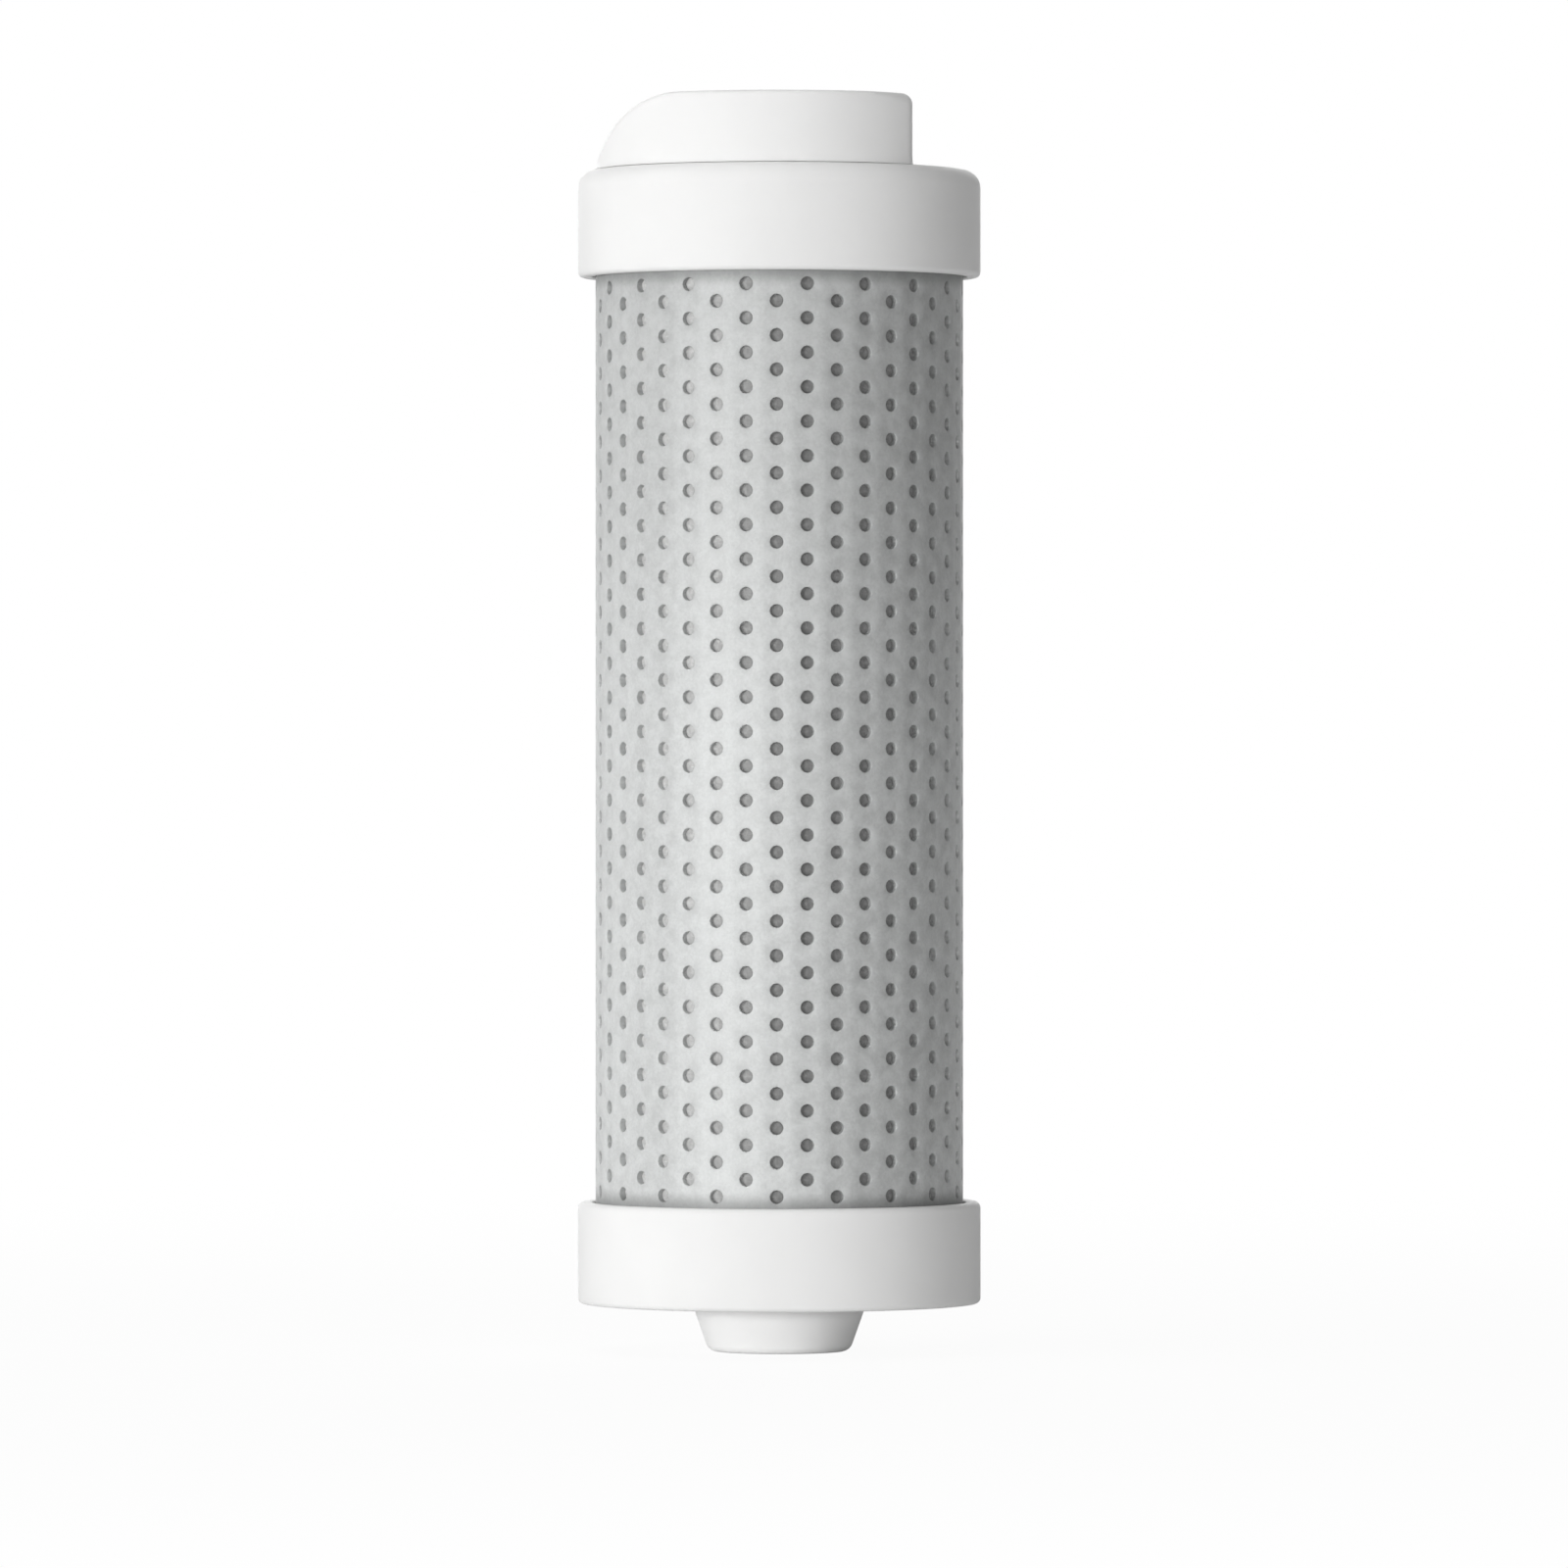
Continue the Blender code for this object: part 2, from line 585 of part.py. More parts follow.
def make_bottom_cap(parent):
    """Bottom cap: floor lipped round the nozzle's hole, skirt outside the sleeve, locating ring inside."""
    hole = NOZZLE_R + CLEARANCE
    ring = INNER_FIT_R - LOCATING_RING_WALL
    mesh = turned(
        "bottom_end_cap",
        [
            (hole, Z_FLOOR, 0.0),
            (ring, Z_FLOOR, 0.0),
            (ring, Z_LOCATING_TOP, 0.0),
            (INNER_FIT_R, Z_LOCATING_TOP, 0.0),
            (INNER_FIT_R, Z_FLOOR, 0.0),
            (SKIRT_BORE_R, Z_FLOOR, 0.0),
            (SKIRT_BORE_R, Z_BOTTOM_RIM, 0.0),
            (CAP_R, Z_BOTTOM_RIM, 0.0),
            (CAP_R, Z_CAP_BOTTOM, BOTTOM_EDGE_RADIUS),
            (hole + LIP_WIDTH, Z_CAP_BOTTOM, 0.0),
            (hole + LIP_LAND, Z_CAP_BOTTOM - LIP_HEIGHT, 0.0),
            (hole, Z_CAP_BOTTOM - LIP_HEIGHT, 0.0),
        ],
        LARGE_SEGMENTS,
    )
    place("bottom_end_cap", mesh, "white_plastic", parent)


def make_nozzle(parent):
    """Tapered outlet nozzle: flange on the cap's floor, valve chamber, socket for the element."""
    exit_r = EXIT_BORE_DIAMETER / 2
    chamber = CHAMBER_DIAMETER / 2
    groove_in = NOZZLE_RING_R - NOZZLE_RING_SECTION / 2 - CLEARANCE
    groove_out = NOZZLE_RING_R + NOZZLE_RING_SECTION / 2 + CLEARANCE
    groove_top = Z_FLANGE_BOTTOM + NOZZLE_RING_SECTION + CLEARANCE
    mesh = turned(
        "outlet_nozzle",
        [
            (SOCKET_R, Z_NOZZLE_TOP, 0.0),
            (NOZZLE_R, Z_NOZZLE_TOP, 0.0),
            (NOZZLE_R, Z_FLANGE_TOP, 0.0),
            (NOZZLE_FLANGE_R, Z_FLANGE_TOP, 0.0),
            (NOZZLE_FLANGE_R, Z_FLANGE_BOTTOM, 0.0),
            (groove_out, Z_FLANGE_BOTTOM, 0.0),
            (groove_out, groove_top, 0.0),
            (groove_in, groove_top, 0.0),
            (groove_in, Z_FLANGE_BOTTOM, 0.0),
            (NOZZLE_R, Z_FLANGE_BOTTOM, 0.0),
            (NOZZLE_R, Z_CAP_BOTTOM, 0.0),
            (NOZZLE_TIP_DIAMETER / 2, 0.0, NOZZLE_EDGE_RADIUS),
            (exit_r, 0.0, 0.0),
            (exit_r, EXIT_BORE_LENGTH, 0.0),
            (chamber, EXIT_BORE_LENGTH, 0.0),
            (chamber, Z_CHAMBER_TOP, 0.0),
            (SOCKET_R, Z_CHAMBER_TOP, 0.0),
        ],
        MIDDLE_SEGMENTS,
    )
    place("outlet_nozzle", mesh, "white_plastic", parent)
    ring_height = Z_FLANGE_BOTTOM + NOZZLE_RING_SECTION / 2
    ring = o_ring("nozzle_o_ring", NOZZLE_RING_R, NOZZLE_RING_SECTION, ring_height)
    place("nozzle_o_ring", ring, "black_rubber", parent)


def make_valve(parent, moving):
    """One-way valve: the spring holds the poppet's seal up against the seat, outflow pushes it down."""
    seat = tube(
        "valve_seat",
        SEAT_BORE_DIAMETER / 2,
        SOCKET_R - CLEARANCE,
        Z_SEAT_BOTTOM,
        Z_SEAT_TOP,
        SMALL_SEGMENTS,
    )
    place("valve_seat", seat, "natural_plastic", parent)
    pin = POPPET_PIN_DIAMETER / 2
    head = POPPET_HEAD_DIAMETER / 2
    pin_top = Z_SEAT_BOTTOM + POPPET_PIN_REACH
    boss_bottom = Z_POPPET_BOTTOM - POPPET_BOSS_LENGTH
    drop = -Z_POPPET_TOP
    outline = [
        (0.0, pin_top),
        (pin, pin_top),
        (pin, Z_POPPET_TOP),
        (head, Z_POPPET_TOP),
        (head, Z_POPPET_BOTTOM),
        (POPPET_BOSS_R, Z_POPPET_BOTTOM),
        (POPPET_BOSS_R, boss_bottom),
        (0.0, boss_bottom),
    ]
    lowered = [(radius, height + drop) for radius, height in outline]
    poppet = turned("valve_poppet", sharp(*lowered), SMALL_SEGMENTS)
    place("valve_poppet", poppet, "natural_plastic", moving)
    seal = tube(
        "poppet_seal", pin + CLEARANCE, head, Z_SEAL_BOTTOM + drop, Z_SEAL_TOP + drop, SMALL_SEGMENTS
    )
    place("poppet_seal", seal, "blue_silicone", moving)
    make_spring(parent)


def make_spring(parent):
    """Coil spring from the chamber's ledge to the poppet, as one unbroken wire."""
    low = EXIT_BORE_LENGTH + CLEARANCE + SPRING_WIRE / 2
    high = Z_POPPET_BOTTOM - CLEARANCE - SPRING_WIRE / 2
    per_turn = 8
    count = round(SPRING_TURNS * per_turn)
    points = []
    for step in range(count + 1):
        share = step / count
        angle = math.tau * SPRING_TURNS * share
        across = Vector((math.cos(angle), math.sin(angle), 0.0)) * (SPRING_MEAN_DIAMETER / 2)
        points.append(across + Vector((0.0, 0.0, low + (high - low) * share)))
    curve = bpy.data.curves.new("valve_spring", "CURVE")
    curve.dimensions = "3D"
    curve.bevel_depth = SPRING_WIRE / 2
    curve.bevel_resolution = 1
    curve.use_fill_caps = True
    spline = curve.splines.new("POLY")
    spline.points.add(count)
    for point, position in zip(spline.points, points):
        point.co = (*position, 1.0)
    place("valve_spring", curve, "stainless_steel", parent)
    least = min(
        (points[near] - points[far]).length
        for near in range(count + 1)
        for far in range(near + per_turn // 2, count + 1)
    )
    print(f"valve_spring: least gap between turns {(least - SPRING_WIRE) * 1000:.2f} mm")


def make_felt(parent):
    """Felt tube that lies behind the sleeve, between the locating ring and the collar."""
    low = Z_LOCATING_TOP + CLEARANCE
    high = Z_COLLAR_BOTTOM - CLEARANCE
    mesh = tube("felt_prefilter", INNER_FIT_R - FELT_THICKNESS, INNER_FIT_R, low, high, LARGE_SEGMENTS)
    place("felt_prefilter", mesh, "grey_felt", parent)


def make_element_discs(parent):
    """End discs of the element: the upper one closes the core, the lower one has the outlet nipple."""
    disc = ELEMENT_R
    boss = CORE_BORE_R - CLEARANCE
    upper = sharp(
        (0.0, Z_UPPER_DISC_TOP),
        (disc, Z_UPPER_DISC_TOP),
        (disc, Z_UPPER_DISC_BOTTOM),
        (boss, Z_UPPER_DISC_BOTTOM),
        (boss, Z_UPPER_DISC_BOTTOM - DISC_BOSS_LENGTH),
        (0.0, Z_UPPER_DISC_BOTTOM - DISC_BOSS_LENGTH),
    )
    upper_disc = turned("element_top_disc", upper, MIDDLE_SEGMENTS)
    place("element_top_disc", upper_disc, "natural_plastic", parent)
    bore = SEAT_BORE_DIAMETER / 2
    recess = CORE_R + CLEARANCE
    recess_floor = Z_LOWER_DISC_TOP - SCREEN_THICKNESS - CLEARANCE
    groove = NIPPLE_RING_R - ELEMENT_RING_SECTION / 2 - CLEARANCE
    middle = (Z_NIPPLE_BOTTOM + Z_LOWER_DISC_BOTTOM) / 2
    half = ELEMENT_RING_SECTION / 2 + CLEARANCE
    lower = sharp(
        (recess, Z_LOWER_DISC_TOP),
        (disc, Z_LOWER_DISC_TOP),
        (disc, Z_LOWER_DISC_BOTTOM),
        (NIPPLE_R, Z_LOWER_DISC_BOTTOM),
        (NIPPLE_R, middle + half),
        (groove, middle + half),
        (groove, middle - half),
        (NIPPLE_R, middle - half),
        (NIPPLE_R, Z_NIPPLE_BOTTOM),
        (bore, Z_NIPPLE_BOTTOM),
        (bore, recess_floor),
        (recess, recess_floor),
    )
    lower_disc = turned("element_bottom_disc", lower, MIDDLE_SEGMENTS)
    place("element_bottom_disc", lower_disc, "natural_plastic", parent)
    ring = o_ring("element_o_ring", NIPPLE_RING_R, ELEMENT_RING_SECTION, middle)
    place("element_o_ring", ring, "black_rubber", parent)
    gasket = tube(
        "element_gasket", PLUG_BORE_R, disc, Z_ELEMENT_GASKET_BOTTOM, Z_ELEMENT_GASKET_TOP, MIDDLE_SEGMENTS
    )
    place("element_gasket", gasket, "black_rubber", parent)


def make_screen(parent):
    """Fine screen in the lower disc, drilled on a triangular grid."""
    low = Z_LOWER_DISC_TOP - SCREEN_THICKNESS
    mesh = turned(
        "outlet_screen",
        sharp((0.0, Z_LOWER_DISC_TOP), (CORE_R, Z_LOWER_DISC_TOP), (CORE_R, low), (0.0, low)),
        SMALL_SEGMENTS,
    )
    screen = place("outlet_screen", mesh, "stainless_steel", parent)
    limit = SEAT_BORE_DIAMETER / 2
    rings = math.ceil(limit / SCREEN_HOLE_PITCH)
    row_step = SCREEN_HOLE_PITCH * math.sin(math.pi / 3)
    bottom = low - CUT_MARGIN
    top = Z_LOWER_DISC_TOP + CUT_MARGIN
    drills = []
    for row in range(-rings, rings + 1):
        for column in range(-2 * rings, 2 * rings + 1):
            x = (column + row / 2) * SCREEN_HOLE_PITCH
            y = row * row_step
            if math.hypot(x, y) <= limit:
                drills.append((upright(x, y, bottom, top), SCREEN_HOLE_DIAMETER / 2, top - bottom))
    boolean(screen, cutter("screen_drills", rods("screen_drills", drills, HOLE_SIDES)), "DIFFERENCE")


def make_membrane(parent):
    """Pleated membrane: a zigzag ring of PLEAT_COUNT folds, extruded along Z."""
    bm = bmesh.new()
    loops = []
    for height in (Z_MEDIA_BOTTOM, Z_MEDIA_TOP):
        for inward in (0.0, PLEAT_RADIAL_THICKNESS):
            loop = []
            for fold in range(2 * PLEAT_COUNT):
                angle = math.pi * fold / PLEAT_COUNT
                crest = PLEAT_OUTER_R if fold % 2 == 0 else PLEAT_INNER_R + PLEAT_RADIAL_THICKNESS
                radius = crest - inward
                loop.append(bm.verts.new((radius * math.cos(angle), radius * math.sin(angle), height)))
            loops.append(loop)
    low_out, low_in, high_out, high_in = loops
    for first, second in ((low_out, high_out), (high_out, high_in), (high_in, low_in), (low_in, low_out)):
        for fold in range(2 * PLEAT_COUNT):
            after = (fold + 1) % (2 * PLEAT_COUNT)
            bm.faces.new((first[fold], first[after], second[after], second[fold]))
    place("pleated_membrane", mesh_from("pleated_membrane", bm), "membrane_paper", parent, 10.0)


def make_carbon(parent):
    """Carbon block on the core tube, with a pad at each end."""
    bore = CORE_R + CLEARANCE
    outer = CARBON_R
    low_pad = Z_MEDIA_BOTTOM + CARBON_PAD_THICKNESS
    high_pad = Z_MEDIA_TOP - CARBON_PAD_THICKNESS
    low = low_pad + CLEARANCE
    high = high_pad - CLEARANCE
    place("carbon_block", tube("carbon_block", bore, outer, low, high, SMALL_SEGMENTS), "carbon", parent)
    lower = tube("lower_carbon_pad", bore, outer, Z_MEDIA_BOTTOM, low_pad, SMALL_SEGMENTS)
    place("lower_carbon_pad", lower, "grey_felt", parent)
    upper = tube("upper_carbon_pad", bore, outer, high_pad, Z_MEDIA_TOP, SMALL_SEGMENTS)
    place("upper_carbon_pad", upper, "grey_felt", parent)


def make_core(parent):
    """Core tube, cross-drilled along its length with each hole turned a quarter from the last."""
    mesh = tube("core_tube", CORE_BORE_R, CORE_R, Z_MEDIA_BOTTOM, Z_MEDIA_TOP, 2 * FINE_SEGMENTS)
    core = place("core_tube", mesh, "natural_plastic", parent)
    length = CORE_DIAMETER + 2 * CUT_MARGIN
    drills = []
    height = Z_MEDIA_BOTTOM + CORE_HOLE_PITCH
    while height < Z_MEDIA_TOP - CORE_HOLE_PITCH / 2:
        turn = Matrix.Rotation(math.pi / 2 * (len(drills) % 2), 4, "Z")
        matrix = Matrix.Translation((0.0, 0.0, height)) @ turn @ Matrix.Rotation(math.pi / 2, 4, "Y")
        drills.append((matrix, CORE_HOLE_DIAMETER / 2, length))
        height += CORE_HOLE_PITCH
    boolean(core, cutter("core_drills", rods("core_drills", drills, FINE_SEGMENTS)), "DIFFERENCE")


def main():
    """Empty the scene and build the cartridge."""
    for obj in list(bpy.data.objects):
        bpy.data.objects.remove(obj, do_unlink=True)
    cartridge = pivot("cartridge_axis")
    lift = pivot("cap_lift_axis")
    lift.parent = cartridge
    cap = pivot("cap_twist_axis")
    cap.parent = lift
    valve = pivot("valve_axis", Z_POPPET_TOP)
    valve.parent = cartridge

    make_bottom_cap(cartridge)
    make_nozzle(cartridge)
    make_valve(cartridge, valve)
    make_sleeve(cartridge)
    make_collar(cartridge)
    make_felt(cartridge)
    make_element_discs(cartridge)
    make_screen(cartridge)
    make_membrane(cartridge)
    make_carbon(cartridge)
    make_core(cartridge)

    gasket = tube("cap_gasket", COLLAR_BORE_R, SLEEVE_R, Z_GASKET_BOTTOM, Z_GASKET_TOP, LARGE_SEGMENTS)
    place("cap_gasket", gasket, "black_rubber", lift)
    make_top_cap(cap)
    make_hub(cap)
    make_hub_screws(cap)


main()
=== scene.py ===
"""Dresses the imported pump-filter cartridge with fine surfaces, finishes, soft light and a camera.

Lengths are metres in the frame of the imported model: the filter's axis is +Z, the origin is the middle
of the nozzle's tip and +X points to the flat of the hub. The camera looks along +Y.
"""

from __future__ import annotations

import logging
import math
import sys
from dataclasses import dataclass
from enum import Enum
from typing import Any, Union

import bmesh
import bpy
import numpy as np
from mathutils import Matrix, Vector


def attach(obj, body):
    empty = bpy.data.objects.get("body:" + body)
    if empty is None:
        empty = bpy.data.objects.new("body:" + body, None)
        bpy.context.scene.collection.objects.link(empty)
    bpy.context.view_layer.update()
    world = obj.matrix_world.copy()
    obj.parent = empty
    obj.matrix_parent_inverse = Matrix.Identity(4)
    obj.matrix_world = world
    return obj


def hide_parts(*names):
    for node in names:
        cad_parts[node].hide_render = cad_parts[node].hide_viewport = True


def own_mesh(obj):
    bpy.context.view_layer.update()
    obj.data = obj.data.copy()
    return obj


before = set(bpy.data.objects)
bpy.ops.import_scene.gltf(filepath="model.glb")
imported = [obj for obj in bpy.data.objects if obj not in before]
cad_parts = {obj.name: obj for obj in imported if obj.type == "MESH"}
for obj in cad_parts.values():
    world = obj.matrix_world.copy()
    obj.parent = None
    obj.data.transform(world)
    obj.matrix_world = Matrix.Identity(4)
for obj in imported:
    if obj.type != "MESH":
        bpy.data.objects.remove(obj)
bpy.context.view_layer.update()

LOG = logging.getLogger("filter_scene")
MERGE_DISTANCE = 1e-7
TINY_LENGTH = 1e-12
TINY_ANGLE = 1e-9
SHARP_ANGLE = math.radians(32.0)
TURN = 2.0 * math.pi
HUB_SCREWS = ("hub_screw_1", "hub_screw_2", "hub_screw_3")

Array = np.ndarray
Colour = tuple[float, float, float]
Corner = tuple[float, float, float]
Operand = Union["Signal", float]
Inputs = dict[Union[str, int], Any]


class Body(Enum):
    """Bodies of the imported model."""

    CARTRIDGE = "cartridge"
    CAP_SEAL = "cap_seal"
    TOP_CAP = "top_cap"
    POPPET = "poppet"


class Slot(Enum):
    """Material slots of the record."""

    WHITE_PLASTIC = "white_plastic"
    SHEET = "perforated_sheet"
    FELT = "felt"
    RUBBER = "rubber"
    SILICONE = "silicone"
    NATURAL_PLASTIC = "natural_plastic"
    MEMBRANE = "membrane"
    CARBON = "carbon"
    STEEL = "stainless_steel"


@dataclass(frozen=True)
class Layout:
    """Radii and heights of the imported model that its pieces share."""

    cap_radius: float = 0.0230
    skirt_bore: float = 0.0213
    sleeve_radius: float = 0.0210
    sleeve_wall: float = 0.0008
    inner_fit: float = 0.0199
    locating_bore: float = 0.0184
    collar_bore: float = 0.0174
    plug_radius: float = 0.0161
    plug_bore: float = 0.0141
    element_radius: float = 0.0159
    carbon_radius: float = 0.0094
    core_radius: float = 0.0052
    core_bore: float = 0.0040
    nozzle_radius: float = 0.0100
    socket_radius: float = 0.0080
    clearance: float = 0.0003
    cap_bottom: float = 0.0055
    floor: float = 0.0077
    bottom_rim: float = 0.0171
    locating_top: float = 0.0137
    top_rim: float = 0.1227
    roof_under: float = 0.1327
    roof: float = 0.1349
    hub_top: float = 0.1430
    plug_bottom: float = 0.1232
    collar_bottom: float = 0.1225
    sleeve_bottom: float = 0.0080
    sleeve_top: float = 0.1305
    media_bottom: float = 0.0212
    media_top: float = 0.1188


LAYOUT = Layout()


class Signal:
    """A shader socket that takes part in arithmetic."""

    def __init__(self, graph: Graph, socket: bpy.types.NodeSocket) -> None:
        """Keeps the socket and the graph that it is in."""
        self.graph = graph
        self.socket = socket

    def _math(self, operation: str, first: Operand, second: Operand) -> Signal:
        """The result of a Math node on two operands."""
        return self.graph.signal("ShaderNodeMath", {"operation": operation}, {0: first, 1: second})

    def __add__(self, other: Operand) -> Signal:
        """self + other."""
        return self._math("ADD", self, other)

    def __radd__(self, other: Operand) -> Signal:
        """other + self."""
        return self._math("ADD", other, self)

    def __sub__(self, other: Operand) -> Signal:
        """self - other."""
        return self._math("SUBTRACT", self, other)

    def __rsub__(self, other: Operand) -> Signal:
        """other - self."""
        return self._math("SUBTRACT", other, self)

    def __mul__(self, other: Operand) -> Signal:
        """self * other."""
        return self._math("MULTIPLY", self, other)

    def __rmul__(self, other: Operand) -> Signal:
        """other * self."""
        return self._math("MULTIPLY", other, self)

    def ramp(self, low: float, high: float) -> Signal:
        """A smooth step that is 0 below low and 1 above high.

        Args:
            low: Value where the step begins.
            high: Value where the step ends.

        Returns:
            The step as a signal.
        """
        inputs = {"Value": self, "From Min": low, "From Max": high}
        return self.graph.signal("ShaderNodeMapRange", {"interpolation_type": "SMOOTHSTEP"}, inputs)

    def blend(self, first: Colour, second: Colour) -> Signal:
        """A colour between two, with this signal as the share of the second.

        Args:
            first: Linear colour at 0.
            second: Linear colour at 1.

        Returns:
            The colour as a signal.
        """
        inputs = {0: self, 6: (*first, 1.0), 7: (*second, 1.0)}
        return self.graph.signal("ShaderNodeMix", {"data_type": "RGBA"}, inputs, 2)


class Graph:
    """The node graph of a material or of the world."""

    def __init__(self, owner: bpy.types.Material | bpy.types.World, shader: str) -> None:
        """Opens the graph of a new material or world.

        Args:
            owner: The material or world.
            shader: Name of the shader node that it starts with.
        """
        owner.use_nodes = True
        self.tree = owner.node_tree
        self.shader = self.tree.nodes[shader]

    def node(self, kind: str, settings: dict[str, Any], inputs: Inputs) -> bpy.types.Node:
        """Makes a node, sets its properties, then its sockets.

        Args:
            kind: Blender's type name of the node.
            settings: Properties of the node.
            inputs: A constant or a signal for each named or numbered socket.

        Returns:
            The new node.
        """
        made = self.tree.nodes.new(kind)
        for key, value in settings.items():
            setattr(made, key, value)
        self.feed(made, inputs)
        return made

    def feed(self, node: bpy.types.Node, inputs: Inputs) -> None:
        """Sets or links sockets of a node.

        Args:
            node: The node.
            inputs: A constant or a signal for each named or numbered socket.
        """
        for key, value in inputs.items():
            if isinstance(value, Signal):
                self.tree.links.new(value.socket, node.inputs[key])
            else:
                node.inputs[key].default_value = value

    def signal(self, kind: str, settings: dict[str, Any], inputs: Inputs, output: int | str = 0) -> Signal:
        """One output of a new node, as a signal.

        Args:
            kind: Blender's type name of the node.
            settings: Properties of the node.
            inputs: A constant or a signal for each named or numbered socket.
            output: Name or number of the output.

        Returns:
            The output as a signal.
        """
        return Signal(self, self.node(kind, settings, inputs).outputs[output])

    def place(self, stretch: Corner = (1.0, 1.0, 1.0)) -> Signal:
        """The point on the object in its own coordinates, scaled along each axis.

        Args:
            stretch: Scale along x, y and z.

        Returns:
            The point as a vector signal.
        """
        point = self.signal("ShaderNodeTexCoord", {}, {}, "Object")
        if stretch == (1.0, 1.0, 1.0):
            return point
        return self.signal("ShaderNodeVectorMath", {"operation": "MULTIPLY"}, {0: point, 1: stretch})

    def distance(self, stretch: Corner = (1.0, 1.0, 1.0)) -> Signal:
        """Distance of the point on the object from its origin, measured along some axes only.

        Args:
            stretch: Scale along x, y and z, with 0 for an axis that is left out.

        Returns:
            The distance as a signal.
        """
        return self.signal("ShaderNodeVectorMath", {"operation": "LENGTH"}, {0: self.place(stretch)}, 1)

    def ray(self, kind: str) -> Signal:
        """1 for rays of a kind, such as Camera or Glossy, and 0 for others."""
        return self.signal("ShaderNodeLightPath", {}, {}, f"Is {kind} Ray")

    def along(self, axis: Corner) -> Signal:
        """Distance of the point on the object along an axis.

        Args:
            axis: Unit vector of the axis.

        Returns:
            The distance as a signal, below 0 on the axis's far side.
        """
        inputs = {0: self.place(), 1: axis}
        return self.signal("ShaderNodeVectorMath", {"operation": "DOT_PRODUCT"}, inputs, 1)

    def noise(self, point: Signal, size: float, detail: float = 2.0, rough: float = 0.5) -> Signal:
        """Fractal noise from 0 to 1.

        Args:
            point: Where the noise is read.
            size: Length of its largest features in metres.
            detail: Number of finer octaves.
            rough: Strength of each octave against the one before.

        Returns:
            The noise as a signal.
        """
        inputs = {"Vector": point, "Scale": 1.0 / size, "Detail": detail, "Roughness": rough}
        return self.signal("ShaderNodeTexNoise", {}, inputs)

    def cells(self, point: Signal, size: float) -> Signal:
        """Distance to the nearest of scattered points, about 0 to 1.

        Args:
            point: Where the pattern is read.
            size: Mean spacing of the points in metres.

        Returns:
            The distance as a signal.
        """
        return self.signal("ShaderNodeTexVoronoi", {}, {"Vector": point, "Scale": 1.0 / size})

    def relief(self, height: Signal, depth: float, strength: float) -> Signal:
        """A normal bent by a height field.

        Args:
            height: The field, 0 to 1.
            depth: Its depth in metres.
            strength: Share of the effect.

        Returns:
            The normal as a signal.
        """
        inputs = {"Strength": strength, "Distance": depth, "Height": height}
        return self.signal("ShaderNodeBump", {}, inputs)


@dataclass(frozen=True)
class Finish:
    """A finish: its name, two colours that it varies between, and its roughness."""

    name: str
    dark: Colour
    light: Colour
    roughness: float

    def material(self) -> bpy.types.Material:
        """The finish as a material, made once.

        Returns:
            The material.
        """
        known = bpy.data.materials.get(self.name)
        if known is not None:
            return known
        made = bpy.data.materials.new(self.name)
        self.dress(Graph(made, "Principled BSDF"))
        return made

    def dress(self, graph: Graph) -> None:
        """Adds the finish's nodes to a graph."""
        raise NotImplementedError


@dataclass(frozen=True)
class MouldedPlastic(Finish):
    """Moulded plastic: faint clouding, a soft satin gloss and the fine texture of the mould."""

    clouds: float = 0.018
    texture: float = 0.00028
    sinks: float = 0.006
    depth: float = 0.00004
    specular: float = 0.32

    def dress(self, graph: Graph) -> None:
        """Adds the clouding, the uneven gloss and the mould's texture.

        Args:
            graph: The material's graph.
        """
        point = graph.place()
        cloud = graph.noise(point, self.clouds, 3.0)
        grain = graph.noise(point, self.texture, 2.0, 0.6)
        sink = graph.noise(point, self.sinks, 1.0)
        inputs = {
            "Base Color": cloud.ramp(0.25, 0.75).blend(self.dark, self.light),
            "Roughness": self.roughness + 0.10 * (grain - 0.5) + 0.08 * (cloud - 0.5),
            "Normal": graph.relief(grain * 0.35 + sink, self.depth, 0.30),
            "Specular IOR Level": self.specular,
        }
        graph.feed(graph.shader, inputs)


